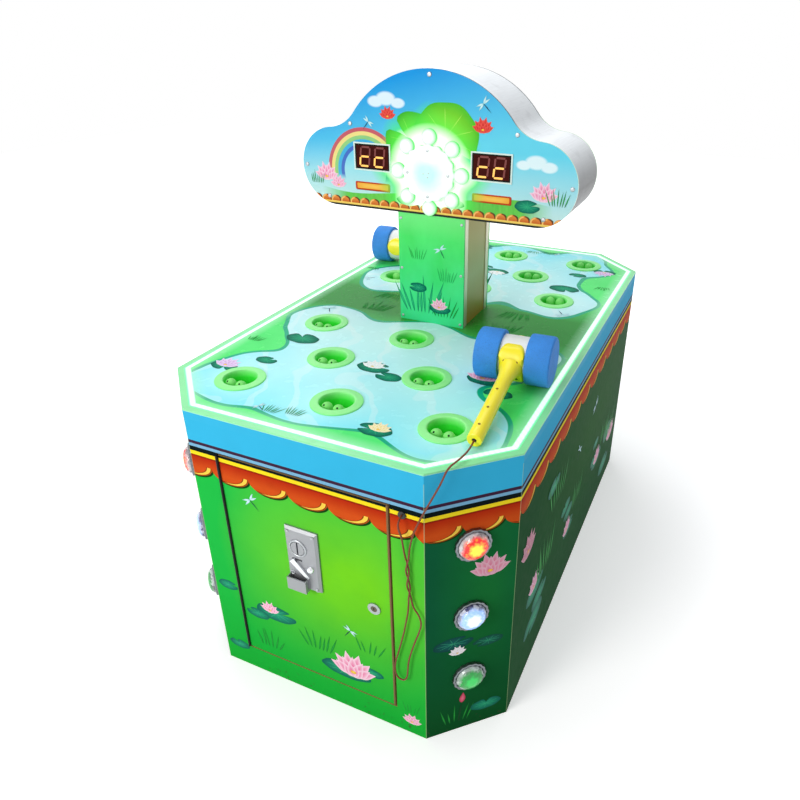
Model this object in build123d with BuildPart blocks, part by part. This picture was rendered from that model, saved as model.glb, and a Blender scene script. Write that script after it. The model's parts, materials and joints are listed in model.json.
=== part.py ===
from build123d import *
from math import atan2, cos, degrees, hypot, radians, sin, tan

# Two-sided mole pounding arcade machine. Millimetres, +Z up, origin on the floor under the middle
# of the cabinet. The service door faces -Y. Player one stands at -Y and player two at +Y.

# Cabinet
cabinet_width = 666.0
cabinet_length = 1128.0
deck_height = 580.0
corner_width = 113.0
corner_length = 110.0
panel_thickness = 15.0
base_thickness = 18.0
board_thickness = 15.0
sheet_thickness = 3.0
trim_width = 11.0
strip_width = 12.0
batten_leg = 22.0
batten_depth = 18.0
batten_top_gap = 194.0

# Holes, cups and targets
hole_spacing = 200.0
outer_row_inset = 123.0
inner_row_share = 0.66
rim_radius = 45.0
rim_height = 3.5
rim_slope = 2.5
throat_radius = 29.5
cup_wall = 3.5
cup_depth = 43.0
cup_side_count = 8
hole_side_count = 8
hole_clearance = 1.0
head_clearance = 3.0
head_bottom_drop = 50.0
head_skirt = 22.0
head_crown = 14.0
crown_radius = 13.0
head_side_count = 8
eye_side_count = 5
eye_radius = 10.0
eye_tip_radius = 6.0
eye_spread = 11.0
eye_forward = 13.0
eye_rise = 4.5
eye_height = 30.0
rod_radius = 6.0
rod_side_count = 4
rod_length = 100.0
rod_clearance = 0.3

# Lifting mechanism
solenoid_side = 40.0
solenoid_height = 70.0
rail_top_drop = 150.0
rail_thickness = 3.0
rail_width = 48.0
rail_depth = 20.0
rail_end_gap = 28.0
bearer_leg = 40.0
bearer_overlap = 5.0

# Service door, its hinge and its lock
frame_stile = 57.0
frame_head = 54.0
doorway_bottom = 55.0
door_gap = 3.0
leaf_thickness = 1.2
leaf_gap = 1.0
leaf_depth = 14.0
knuckle_radius = 2.2
knuckle_clearance = 0.4
knuckle_count = 5
knuckle_side_count = 8
pin_radius = 1.0
pin_clearance = 0.08
lock_inset = 36.0
lock_radius = 9.5
lock_flange_radius = 12.0
lock_side_count = 12
lock_flange = 2.5
lock_clearance = 0.3
lock_nut_radius = 14.0
lock_nut = 5.0
plug_radius = 6.0
plug_clearance = 0.08
plug_behind_nut = 4.0
cam_length = 46.0
cam_width = 14.0
cam_thickness = 2.5
cam_clearance = 1.0
cam_crank = 20.0

# Coin entry plate and what is behind it
plate_x = -5.0
plate_drop = 168.0
plate_width = 64.0
plate_height = 128.0
plate_thickness = 7.0
plate_bevel = 4.0
boss_x = -6.0
boss_z = 25.0
boss_radius = 13.5
boss_height = 2.0
slot_width = 3.2
slot_length = 32.0
slot_depth = 5.0
small_slot_x = -10.0
small_slot_z = -1.0
small_slot_width = 20.0
small_slot_height = 4.0
pouch_x = -10.0
pouch_width = 38.0
pouch_height = 26.0
pouch_depth = 10.0
pouch_wall = 2.0
lever_x = -4.0
lever_z = -18.0
lever_length = 44.0
lever_width = 12.0
lever_tip_width = 7.0
lever_thickness = 3.5
lever_angle = -45.0
lever_shaft_radius = 3.0
lever_shaft_clearance = 0.08
lever_gap = 0.3
plate_screw_radius = 3.0
plate_screw_height = 1.2
plate_screw_inset = 6.5
validator_width = 54.0
validator_height = 104.0
validator_depth = 52.0
cutout_clearance = 1.0
validator_flange = 6.0
validator_flange_thickness = 2.0
chute_width = 34.0
chute_depth = 16.0
chute_wall = 1.5
chute_gap = 60.0
cash_box_width = 170.0
cash_box_length = 130.0
cash_box_height = 90.0
cash_box_wall = 2.0
cash_box_gap = 4.0

# Corner lamps
lamp_foot_z = 135.0
lamp_top_drop = 132.0
lamp_middle_drop = 2.5
bezel_radius = 31.5
bezel_height = 6.0
lens_radius = 26.0
lens_shoulder_radius = 22.0
lens_tip_radius = 9.0
lens_rise = 5.0
lens_crown = 7.0
neck_radius = 11.0
neck_clearance = 1.0
holder_length = 22.0
lamp_side_count = 8
neck_side_count = 6
nut_side_count = 6

# Post
post_width = 144.0
post_depth = 140.0
acrylic_thickness = 5.0
angle_leg = 15.0
angle_thickness = 1.5
side_sheet_thickness = 2.0
post_plate_thickness = 3.0

# Header
post_height = 229.0
header_depth = 146.0
lobe_x = 211.0
lobe_radius = 76.0
dome_rise = 60.0
dome_radius = 203.0
notch_radius = 75.0
band_wall = 2.0
header_panel_thickness = 4.0
spacer_radius = 6.0
edge_screw_inset = 10.0
shoulder_screw_angle = 30.5
shoulder_screw_inset = 5.0
heel_screw_inset = 17.0
foot_screw_inset = 8.5
display_x = 124.0
display_rise = 101.0
display_width = 81.0
display_height = 53.0
display_frame = 3.0
display_proud = 2.0
display_recess = 1.0
display_depth = 28.0
burst_rise = 81.0
burst_radius = 52.0
burst_proud = 12.0
pod_count = 8
pod_side_count = 6
burst_side_count = 12
pod_ring_radius = 66.0
pod_radius = 15.0
pod_proud = 9.0
burst_socket_radius = 30.0
burst_socket_depth = 20.0
burst_socket_clearance = 0.5

# Mallets
drum_radius = 45.0
drum_length = 44.0
drum_gap = 46.0
drum_side_count = 16
core_radius = 37.5
saddle_gap = 0.3
saddle_thickness = 5.5
saddle_width = 44.0
saddle_height = 70.0
saddle_corner = 12.0
saddle_side_count = 20
cap_radius = 22.0
neck_base_radius = 17.0
neck_reach = 34.0
neck_sink = 1.4
handle_radius = 12.3
handle_reach = 236.5
handle_side_count = 12
cord_hole_radius = 3.7
cord_hole_depth = 6.0
mallet_yaw = 3.8
mallet_droop = 7.9
mallet_gap = 0.3
mallet_side_inset = 89.0
front_mallet_gap = 77.0
rear_mallet_gap = 108.0

# Front mallet's cord
cord_radius = 1.5
cord_side_count = 5
cord_gap = 0.3
eyelet_inset = 21.0
eyelet_drop = 66.0
eyelet_radius = 4.0
eyelet_flange_radius = 7.0
eyelet_flange = 2.0
eyelet_clearance = 0.1

# Electrics
inlet_inset = 70.0
inlet_z = 100.0
inlet_width = 48.0
inlet_height = 28.0
inlet_flange = 6.0
inlet_flange_thickness = 2.5
inlet_depth = 30.0
inlet_wall = 5.0
inlet_recess = 16.0
blade_width = 5.0
blade_thickness = 2.0
blade_length = 7.0
blade_pitch = 7.0
supply_gap = 73.0
supply_y = 120.0
supply_width = 110.0
supply_length = 200.0
supply_height = 50.0
supply_foot = 12.0
supply_foot_thickness = 2.0
pcb_y = -150.0
pcb_drop = 77.0
pcb_length = 180.0
pcb_height = 120.0
pcb_thickness = 1.6
standoff_radius = 4.0
standoff_length = 8.0
standoff_inset = 8.0
relay_size = 15.0
relay_pitch = 20.0
relay_count = 6
connector_height = 12.0
connector_depth = 9.0

# Overrun of every cut
overrun = 1.0

# Derived places
half_width = cabinet_width / 2
half_length = cabinet_length / 2
board_top = deck_height - sheet_thickness
wall_top = board_top - board_thickness
corner_face = hypot(corner_width, corner_length)
cup_tube_radius = throat_radius + cup_wall
hole_radius = cup_tube_radius + hole_clearance
head_radius = throat_radius - head_clearance
head_bottom = deck_height - head_bottom_drop
eye_tip_z = deck_height + eye_rise
rod_bottom = head_bottom - rod_length
rail_top = deck_height - rail_top_drop
wall_inside_x = half_width - panel_thickness
wall_inside_y = half_length - panel_thickness
front_half = half_width - corner_width
batten_height = wall_top - base_thickness - batten_top_gap
outer_row_y = half_length - outer_row_inset
row_pitch = (outer_row_y - post_depth / 2) / (2 + inner_row_share)
middle_row_y = outer_row_y - row_pitch
inner_row_y = middle_row_y - row_pitch
rail_length = 2 * (wall_inside_x - rail_end_gap)
bearer_length = 2 * (outer_row_y + bearer_overlap)
bearer_bottom = rail_top - rail_thickness - bearer_leg
doorway_width = 2 * (front_half - frame_stile)
doorway_top = wall_top - frame_head
doorway_height = doorway_top - doorway_bottom
doorway_middle = (doorway_top + doorway_bottom) / 2
lock_x = doorway_width / 2 - lock_inset
lock_z = doorway_middle
plate_z = doorway_top - plate_drop
lamp_top_z = wall_top - lamp_top_drop
lamp_middle_z = (lamp_foot_z + lamp_top_z) / 2 - lamp_middle_drop
lamp_heights = (lamp_foot_z, lamp_middle_z, lamp_top_z)
header_bottom = deck_height + post_height
dome_z = header_bottom + dome_rise
display_z = header_bottom + display_rise
burst_z = header_bottom + burst_rise
mallet_x = half_width - mallet_side_inset
front_mallet_y = inner_row_y + front_mallet_gap
rear_mallet_y = inner_row_y + rear_mallet_gap
eyelet_x = doorway_width / 2 + eyelet_inset
eyelet_z = wall_top - eyelet_drop
inlet_x = front_half - inlet_inset
supply_x = supply_gap + supply_width / 2 - wall_inside_x
pcb_z = bearer_bottom - pcb_drop - pcb_height / 2


def octagon(inset):
    """Corners of the cabinet's outline moved in by a distance, anticlockwise from the front left."""
    x = half_width - inset
    y = half_length - inset
    reach = half_width * corner_length + half_length * corner_width - corner_width * corner_length
    reach = reach - inset * corner_face
    x_at_end = (reach - corner_width * y) / corner_length
    y_at_side = (reach - corner_length * x) / corner_width
    quarter = [(x_at_end, -y), (x, -y_at_side), (x, y_at_side), (x_at_end, y)]
    return [(-x_at_end, -y)] + quarter + [(-x_at_end, y), (-x, y_at_side), (-x, -y_at_side)]


def wall_plan(side):
    """Plan of one wall of the eight, mitred at both ends."""
    outer = octagon(0)
    inner = octagon(panel_thickness)
    after = (side + 1) % len(outer)
    return [outer[side], outer[after], inner[after], inner[side]]


def batten_plan(corner):
    """Plan of the batten glued inside one mitre: a kite with a leg along each wall."""
    inner = octagon(panel_thickness)
    deep = octagon(panel_thickness + batten_depth)
    here = Vector(*inner[corner])
    before = Vector(*inner[corner - 1])
    after = Vector(*inner[(corner + 1) % len(inner)])
    first = here + (before - here).normalized() * batten_leg
    second = here + (after - here).normalized() * batten_leg
    return [(here.X, here.Y), (second.X, second.Y), deep[corner], (first.X, first.Y)]


def hole_places(toward):
    """Centres of one player's eight holes; toward is -1 for the front player and 1 for the rear."""
    half = hole_spacing / 2
    outer = [(x, toward * outer_row_y) for x in (-hole_spacing, 0, hole_spacing)]
    middle = [(x, toward * middle_row_y) for x in (-half, half)]
    inner = [(x, toward * inner_row_y) for x in (-hole_spacing, 0, hole_spacing)]
    return outer + middle + inner


def corner_plane(side_x, side_y, height):
    """Plane on the outside of a corner panel, at its middle, facing out with its Y axis up."""
    out = Vector(side_x * corner_length, side_y * corner_width, 0).normalized()
    middle = (side_x * (half_width - corner_width / 2), side_y * (half_length - corner_length / 2), height)
    return Plane(origin=middle, x_dir=(-out.Y, out.X, 0), z_dir=(out.X, out.Y, 0))


def taper_of(wide, narrow, height, side_count):
    """Taper in degrees that takes a regular polygon from one radius to another over a height."""
    return degrees(atan2((wide - narrow) * cos(radians(180 / side_count)), height))


all_holes = hole_places(-1) + hole_places(1)
lamp_planes = [
    corner_plane(side_x, side_y, height)
    for side_x in (-1, 1)
    for side_y in (-1, 1)
    for height in lamp_heights
]
front_face = Plane.XZ.offset(half_length)
rear_face = Plane(origin=(0, half_length, 0), x_dir=(-1, 0, 0), z_dir=(0, 1, 0))

# Base board, between the walls
with BuildPart() as base_board:
    with BuildSketch(Plane.XY):
        Polygon(*octagon(panel_thickness), align=None)
    extrude(amount=base_thickness)
base_board.part.label = "base_board"
export_step(base_board.part, "parts/base_board.step")

# Front frame with the doorway and the cord's hole
with BuildPart() as front_frame:
    with BuildSketch(Plane.XY):
        Polygon(*wall_plan(0), align=None)
    extrude(amount=wall_top)
    with BuildSketch(front_face):
        with Locations((0, doorway_middle)):
            Rectangle(doorway_width, doorway_height)
        with Locations((eyelet_x, eyelet_z)):
            Circle(eyelet_radius + eyelet_clearance)
    extrude(amount=-panel_thickness - overrun, mode=Mode.SUBTRACT)
front_frame.part.label = "front_frame"
export_step(front_frame.part, "parts/front_frame.step")

# Rear panel with the cut-out for the power inlet
with BuildPart() as rear_panel:
    with BuildSketch(Plane.XY):
        Polygon(*wall_plan(4), align=None)
    extrude(amount=wall_top)
    with BuildSketch(rear_face):
        with Locations((-inlet_x, inlet_z)):
            Rectangle(inlet_width, inlet_height)
    extrude(amount=-panel_thickness - overrun, mode=Mode.SUBTRACT)
rear_panel.part.label = "rear_panel"
export_step(rear_panel.part, "parts/rear_panel.step")

# Side panels
with BuildPart() as right_side_panel:
    with BuildSketch(Plane.XY):
        Polygon(*wall_plan(2), align=None)
    extrude(amount=wall_top)
right_side_panel.part.label = "right_side_panel"
export_step(right_side_panel.part, "parts/right_side_panel.step")

with BuildPart() as left_side_panel:
    with BuildSketch(Plane.XY):
        Polygon(*wall_plan(6), align=None)
    extrude(amount=wall_top)
left_side_panel.part.label = "left_side_panel"
export_step(left_side_panel.part, "parts/left_side_panel.step")

# Corner panels, each with two battens glued to it and three holes for the lamps
with BuildPart() as corner_panels:
    with BuildSketch(Plane.XY):
        for side in (1, 3, 5, 7):
            Polygon(*wall_plan(side), align=None)
    extrude(amount=wall_top)
    with BuildSketch(Plane.XY.offset(base_thickness)):
        for corner in range(8):
            Polygon(*batten_plan(corner), align=None)
    extrude(amount=batten_height)
    with BuildSketch(*lamp_planes):
        RegularPolygon(neck_radius + neck_clearance, neck_side_count, major_radius=False)
    extrude(amount=-panel_thickness - overrun, mode=Mode.SUBTRACT)
corner_panels.part.label = "corner_panels"
export_step(corner_panels.part, "parts/corner_panels.step")

# Deck board and the printed sheet on it
with BuildPart() as deck_board:
    with BuildSketch(Plane.XY.offset(wall_top)):
        Polygon(*octagon(0), align=None)
        with Locations(*all_holes):
            RegularPolygon(hole_radius, hole_side_count, major_radius=False, mode=Mode.SUBTRACT)
    extrude(amount=board_thickness)
deck_board.part.label = "deck_board"
export_step(deck_board.part, "parts/deck_board.step")

with BuildPart() as playfield_sheet:
    with BuildSketch(Plane.XY.offset(board_top)):
        Polygon(*octagon(trim_width + strip_width), align=None)
        with Locations(*all_holes):
            RegularPolygon(hole_radius, hole_side_count, major_radius=False, mode=Mode.SUBTRACT)
    extrude(amount=sheet_thickness)
playfield_sheet.part.label = "playfield_sheet"
export_step(playfield_sheet.part, "parts/playfield_sheet.step")

# Lit strip round the sheet, and the trim round the strip
with BuildPart() as light_strip:
    with BuildSketch(Plane.XY.offset(board_top)):
        Polygon(*octagon(trim_width), align=None)
        Polygon(*octagon(trim_width + strip_width), align=None, mode=Mode.SUBTRACT)
    extrude(amount=sheet_thickness)
light_strip.part.label = "light_strip"
export_step(light_strip.part, "parts/light_strip.step")

with BuildPart() as edge_trim:
    with BuildSketch(Plane.XY.offset(board_top)):
        Polygon(*octagon(0), align=None)
        Polygon(*octagon(trim_width), align=None, mode=Mode.SUBTRACT)
    extrude(amount=sheet_thickness)
edge_trim.part.label = "edge_trim"
export_step(edge_trim.part, "parts/edge_trim.step")

# Hole cups: a sloped rim on the sheet and a tube down through the board
with BuildPart() as hole_cups:
    with BuildSketch(Plane.XY.offset(deck_height - cup_depth)):
        with Locations(*all_holes):
            RegularPolygon(cup_tube_radius, cup_side_count)
    extrude(amount=cup_depth)
    with BuildSketch(Plane.XY.offset(deck_height)):
        with Locations(*all_holes):
            RegularPolygon(rim_radius, cup_side_count)
    extrude(amount=rim_height, taper=degrees(atan2(rim_slope, rim_height)))
    with BuildSketch(Plane.XY.offset(deck_height - cup_depth - overrun)):
        with Locations(*all_holes):
            RegularPolygon(throat_radius, cup_side_count)
    extrude(amount=cup_depth + rim_height + 2 * overrun, mode=Mode.SUBTRACT)
hole_cups.part.label = "hole_cups"
export_step(hole_cups.part, "parts/hole_cups.step")


# Sixteen targets, each a head with two eye bumps toward its player, on a square rod
crown_taper = taper_of(head_radius, crown_radius, head_crown, head_side_count)
eye_taper = taper_of(eye_radius, eye_tip_radius, eye_height, eye_side_count)
for toward, side_name in ((-1, "front"), (1, "rear")):
    for number, place in enumerate(hole_places(toward), start=1):
        with BuildPart() as mole:
            with BuildSketch(Plane(origin=(*place, head_bottom))):
                RegularPolygon(head_radius, head_side_count)
            extrude(amount=head_skirt)
            with BuildSketch(Plane(origin=(*place, head_bottom + head_skirt))):
                RegularPolygon(head_radius, head_side_count)
            extrude(amount=head_crown, taper=crown_taper)
            for eye_side in (-1, 1):
                eye_place = (place[0] + eye_side * eye_spread, place[1] + toward * eye_forward)
                with BuildSketch(Plane(origin=(*eye_place, eye_tip_z - eye_height))):
                    RegularPolygon(eye_radius, eye_side_count)
                extrude(amount=eye_height, taper=eye_taper)
            with BuildSketch(Plane(origin=(*place, rod_bottom))):
                RegularPolygon(rod_radius, rod_side_count)
            extrude(amount=rod_length)
        mole.part.label = f"mole_{side_name}_{number}"
        export_step(mole.part, f"parts/mole_{side_name}_{number}.step")

# Solenoids on the rails, each with a square bore for a rod
with BuildPart() as solenoids:
    with BuildSketch(Plane.XY.offset(rail_top)):
        with Locations(*all_holes):
            Rectangle(solenoid_side, solenoid_side)
            RegularPolygon(rod_radius + rod_clearance, rod_side_count, mode=Mode.SUBTRACT)
    extrude(amount=solenoid_height)
solenoids.part.label = "solenoids"
export_step(solenoids.part, "parts/solenoids.step")

# Steel frame that carries the solenoids: a channel under each row, welded to two angles
row_places = [toward * row for toward in (-1, 1) for row in (outer_row_y, middle_row_y, inner_row_y)]
with BuildPart() as mechanism_frame:
    with BuildSketch(Plane.YZ.offset(-rail_length / 2)):
        with Locations(*[(row, rail_top - rail_thickness + rail_depth / 2) for row in row_places]):
            Rectangle(rail_width, rail_depth)
        with Locations(*[(row, rail_top + rail_depth / 2) for row in row_places]):
            Rectangle(rail_width - 2 * rail_thickness, rail_depth, mode=Mode.SUBTRACT)
    extrude(amount=rail_length)
    bearer_top = rail_top - rail_thickness
    for side in (-1, 1):
        with BuildSketch(Plane.XZ.offset(-bearer_length / 2)):
            with Locations((side * (wall_inside_x - bearer_leg / 2), bearer_top - rail_thickness / 2)):
                Rectangle(bearer_leg, rail_thickness)
            with Locations((side * (wall_inside_x - rail_thickness / 2), bearer_top - bearer_leg / 2)):
                Rectangle(rail_thickness, bearer_leg)
        extrude(amount=bearer_length)
mechanism_frame.part.label = "mechanism_frame"
export_step(mechanism_frame.part, "parts/mechanism_frame.step")

# Piano hinge at the left of the doorway, its pin in front of the door's face
hinge_gap = 2 * leaf_thickness + leaf_gap
doorway_left = -doorway_width / 2
pin_x = doorway_left + hinge_gap / 2
pin_y = -half_length - knuckle_radius
door_bottom = doorway_bottom + door_gap
door_top = doorway_top - door_gap
knuckle_pitch = (door_top - door_bottom) / knuckle_count
knuckle_length = knuckle_pitch - knuckle_clearance


def knuckle_plane(index):
    """Plane under one knuckle, counted from the foot of the hinge."""
    return Plane(origin=(pin_x, pin_y, door_bottom + index * knuckle_pitch + knuckle_clearance / 2))


def draw_leaf(side):
    """Adds a leaf's section to the open sketch: side is -1 for the frame's leaf, 1 for the door's."""
    leaf_x = pin_x + side * (hinge_gap - leaf_thickness) / 2
    with Locations((leaf_x, pin_y + knuckle_radius + leaf_depth / 2)):
        Rectangle(leaf_thickness, leaf_depth - 2 * knuckle_clearance)


def draw_tab(side):
    """Adds the tab that joins a knuckle to its leaf, in a sketch whose origin is on the pin."""
    with Locations((side * (hinge_gap - leaf_thickness) / 2, knuckle_radius / 2 + knuckle_clearance)):
        Rectangle(leaf_thickness, knuckle_radius + 2 * knuckle_clearance)


with BuildPart() as hinge_frame_leaf:
    with BuildSketch(Plane.XY.offset(door_bottom)):
        draw_leaf(-1)
    extrude(amount=door_top - door_bottom)
    for index in range(0, knuckle_count, 2):
        with BuildSketch(knuckle_plane(index)):
            RegularPolygon(knuckle_radius, knuckle_side_count)
            draw_tab(-1)
        extrude(amount=knuckle_length)
    with BuildSketch(knuckle_plane(0)):
        Circle(pin_radius)
    extrude(amount=knuckle_count * knuckle_pitch - knuckle_clearance)
hinge_frame_leaf.part.label = "hinge_frame_leaf"
export_step(hinge_frame_leaf.part, "parts/hinge_frame_leaf.step")

with BuildPart() as hinge_door_leaf:
    with BuildSketch(Plane.XY.offset(door_bottom)):
        draw_leaf(1)
    extrude(amount=door_top - door_bottom)
    for index in range(1, knuckle_count, 2):
        with BuildSketch(knuckle_plane(index)):
            RegularPolygon(knuckle_radius, knuckle_side_count)
            draw_tab(1)
            Circle(pin_radius + pin_clearance, mode=Mode.SUBTRACT)
        extrude(amount=knuckle_length)
hinge_door_leaf.part.label = "hinge_door_leaf"
export_step(hinge_door_leaf.part, "parts/hinge_door_leaf.step")

# Service door, with the coin cut-out and the lock's hole
door_left = doorway_left + hinge_gap
door_right = doorway_width / 2 - door_gap
with BuildPart() as service_door:
    with BuildSketch(front_face):
        with Locations(((door_left + door_right) / 2, doorway_middle)):
            Rectangle(door_right - door_left, door_top - door_bottom)
        with Locations((plate_x, plate_z)):
            Rectangle(
                validator_width + 2 * cutout_clearance,
                validator_height + 2 * cutout_clearance,
                mode=Mode.SUBTRACT,
            )
        with Locations((lock_x, lock_z)):
            RegularPolygon(lock_radius + lock_clearance, nut_side_count, mode=Mode.SUBTRACT)
    extrude(amount=-panel_thickness)
service_door.part.label = "service_door"
export_step(service_door.part, "parts/service_door.step")

# Cam lock: the barrel with its flange and nut, and the plug that turns the cranked cam
door_back = front_face.offset(-panel_thickness)
with BuildPart() as lock_barrel:
    with BuildSketch(front_face):
        with Locations((lock_x, lock_z)):
            RegularPolygon(lock_flange_radius, lock_side_count)
    extrude(amount=lock_flange)
    with BuildSketch(front_face):
        with Locations((lock_x, lock_z)):
            RegularPolygon(lock_radius, nut_side_count)
    extrude(amount=-panel_thickness)
    with BuildSketch(door_back):
        with Locations((lock_x, lock_z)):
            RegularPolygon(lock_nut_radius, nut_side_count)
    extrude(amount=-lock_nut)
    with BuildSketch(front_face.offset(lock_flange + overrun)):
        with Locations((lock_x, lock_z)):
            Circle(plug_radius + plug_clearance)
    extrude(amount=-panel_thickness - lock_flange - lock_nut - 2 * overrun, mode=Mode.SUBTRACT)
lock_barrel.part.label = "lock_barrel"
export_step(lock_barrel.part, "parts/lock_barrel.step")

# The cam's section runs from the plug down past the nut, steps toward the door and ends at its tip
cam_back = -half_length + panel_thickness + lock_nut + plug_behind_nut
cam_tip_back = -half_length + panel_thickness + cam_clearance + cam_thickness
with BuildPart() as lock_plug:
    with BuildSketch(front_face.offset(lock_flange)):
        with Locations((lock_x, lock_z)):
            Circle(plug_radius)
    extrude(amount=-lock_flange - panel_thickness - lock_nut - plug_behind_nut)
    with BuildSketch(Plane.YZ.offset(lock_x - cam_width / 2)):
        with BuildLine():
            Polyline(
                (cam_back - cam_thickness, lock_z + cam_width / 2),
                (cam_back, lock_z + cam_width / 2),
                (cam_back, lock_z - cam_crank),
                (cam_tip_back, lock_z - cam_crank - cam_width / 2),
                (cam_tip_back, lock_z - cam_length),
                (cam_tip_back - cam_thickness, lock_z - cam_length),
                (cam_tip_back - cam_thickness, lock_z - cam_crank - cam_width / 2),
                (cam_back - cam_thickness, lock_z - cam_crank),
                close=True,
            )
        make_face()
    extrude(amount=cam_width)
    with BuildSketch(front_face.offset(lock_flange + overrun)):
        with Locations((lock_x, lock_z)):
            Rectangle(cam_thickness / 2, plug_radius)
    extrude(amount=-overrun - lock_flange, mode=Mode.SUBTRACT)
lock_plug.part.label = "lock_plug"
export_step(lock_plug.part, "parts/lock_plug.step")

# Coin entry plate: bevelled plate, slotted boss, small slot, pouch for returned coins, screws
plate_face = front_face.offset(plate_thickness)
pouch_z = plate_z - plate_height / 2 + pouch_height / 2
screw_x = plate_width / 2 - plate_screw_inset
screw_z = plate_height / 2 - plate_screw_inset
with BuildPart() as coin_plate:
    with BuildSketch(front_face):
        with Locations((plate_x, plate_z)):
            Rectangle(plate_width, plate_height)
    extrude(amount=plate_thickness)
    chamfer(coin_plate.faces().sort_by(Axis.Y)[0].edges(), length=plate_bevel)
    with BuildSketch(plate_face):
        with Locations((plate_x + boss_x, plate_z + boss_z)):
            RegularPolygon(boss_radius, lock_side_count)
    extrude(amount=boss_height)
    with BuildSketch(plate_face):
        with Locations((plate_x + pouch_x, pouch_z)):
            Rectangle(pouch_width, pouch_height)
    extrude(amount=pouch_depth)
    with BuildSketch(plate_face):
        with GridLocations(2 * screw_x, 2 * screw_z, 2, 2):
            with Locations((plate_x, plate_z)):
                RegularPolygon(plate_screw_radius, nut_side_count)
    extrude(amount=plate_screw_height)
    with BuildSketch(plate_face.offset(boss_height + overrun)):
        with Locations((plate_x + boss_x, plate_z + boss_z)):
            Rectangle(slot_width, slot_length)
        with Locations((plate_x + small_slot_x, plate_z + small_slot_z)):
            Rectangle(small_slot_width, small_slot_height)
    extrude(amount=-overrun - boss_height - slot_depth, mode=Mode.SUBTRACT)
    with BuildSketch(plate_face.offset(pouch_depth - pouch_wall)):
        with Locations((plate_x + pouch_x, pouch_z + pouch_wall)):
            Rectangle(pouch_width - 2 * pouch_wall, pouch_height)
    extrude(amount=-pouch_depth, mode=Mode.SUBTRACT)
    with BuildSketch(plate_face.offset(overrun)):
        with Locations((plate_x + lever_x, plate_z + lever_z)):
            Circle(lever_shaft_radius + lever_shaft_clearance)
    extrude(amount=-plate_thickness - 2 * overrun, mode=Mode.SUBTRACT)
coin_plate.part.label = "coin_plate"
export_step(coin_plate.part, "parts/coin_plate.step")

# Return lever: a tapered bar on a shaft through the plate
with BuildPart() as return_lever:
    with BuildSketch(plate_face.offset(lever_gap)):
        with Locations((plate_x + lever_x, plate_z + lever_z)):
            Polygon(
                (-lever_length / 2, lever_width / 2),
                (-lever_length / 2, -lever_width / 2),
                (lever_length / 2, -lever_tip_width / 2),
                (lever_length / 2, lever_tip_width / 2),
                rotation=lever_angle,
                align=None,
            )
    extrude(amount=lever_thickness)
    with BuildSketch(plate_face.offset(lever_gap)):
        with Locations((plate_x + lever_x, plate_z + lever_z)):
            Circle(lever_shaft_radius)
    extrude(amount=-plate_thickness)
return_lever.part.label = "return_lever"
export_step(return_lever.part, "parts/return_lever.step")

# Coin validator behind the plate, with its fixing flange and the chute down to the cash box
chute_length = plate_z - validator_height / 2 - base_thickness - cash_box_height - chute_gap
chute_y = -half_length + panel_thickness + validator_flange_thickness + chute_depth / 2
validator_bottom = plate_z - validator_height / 2
with BuildPart() as coin_validator:
    with BuildSketch(front_face):
        with Locations((plate_x, plate_z)):
            Rectangle(validator_width, validator_height)
    extrude(amount=-validator_depth)
    with BuildSketch(door_back):
        with Locations((plate_x, plate_z)):
            Rectangle(validator_width + 2 * validator_flange, validator_height + 2 * validator_flange)
    extrude(amount=-validator_flange_thickness)
    with BuildSketch(Plane.XY.offset(validator_bottom)):
        with Locations((plate_x, chute_y)):
            Rectangle(chute_width, chute_depth)
    extrude(amount=-chute_length)
    with BuildSketch(Plane.XY.offset(validator_bottom)):
        with Locations((plate_x, chute_y)):
            Rectangle(chute_width - 2 * chute_wall, chute_depth - 2 * chute_wall)
    extrude(amount=-chute_length - overrun, mode=Mode.SUBTRACT)
coin_validator.part.label = "coin_validator"
export_step(coin_validator.part, "parts/coin_validator.step")

# Cash box under the chute
cash_box_y = -wall_inside_y + cash_box_gap + cash_box_length / 2
with BuildPart() as cash_box:
    with BuildSketch(Plane.XY.offset(base_thickness)):
        with Locations((plate_x, cash_box_y)):
            Rectangle(cash_box_width, cash_box_length)
    extrude(amount=cash_box_height)
    offset(amount=-cash_box_wall, openings=cash_box.faces().sort_by(Axis.Z)[-1])
cash_box.part.label = "cash_box"
export_step(cash_box.part, "parts/cash_box.step")

# Corner lamps: the body is a bezel with its lamp holder behind the panel; the lens is faceted
with BuildPart() as lamp_bodies:
    for lamp_plane in lamp_planes:
        with BuildSketch(lamp_plane):
            RegularPolygon(bezel_radius, lamp_side_count)
        extrude(amount=bezel_height)
        with BuildSketch(lamp_plane):
            RegularPolygon(neck_radius, neck_side_count)
        extrude(amount=-panel_thickness - holder_length)
lamp_bodies.part.label = "lamp_bodies"
export_step(lamp_bodies.part, "parts/lamp_bodies.step")

shoulder_taper = taper_of(lens_radius, lens_shoulder_radius, lens_rise, lamp_side_count)
tip_taper = taper_of(lens_shoulder_radius, lens_tip_radius, lens_crown, lamp_side_count)
with BuildPart() as lamp_lenses:
    for lamp_plane in lamp_planes:
        with BuildSketch(lamp_plane.offset(bezel_height)):
            RegularPolygon(lens_radius, lamp_side_count)
        extrude(amount=lens_rise, taper=shoulder_taper)
        with BuildSketch(lamp_plane.offset(bezel_height + lens_rise)):
            RegularPolygon(lens_shoulder_radius, lamp_side_count)
        extrude(amount=lens_crown, taper=tip_taper)
lamp_lenses.part.label = "lamp_lenses"
export_step(lamp_lenses.part, "parts/lamp_lenses.step")

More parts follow.
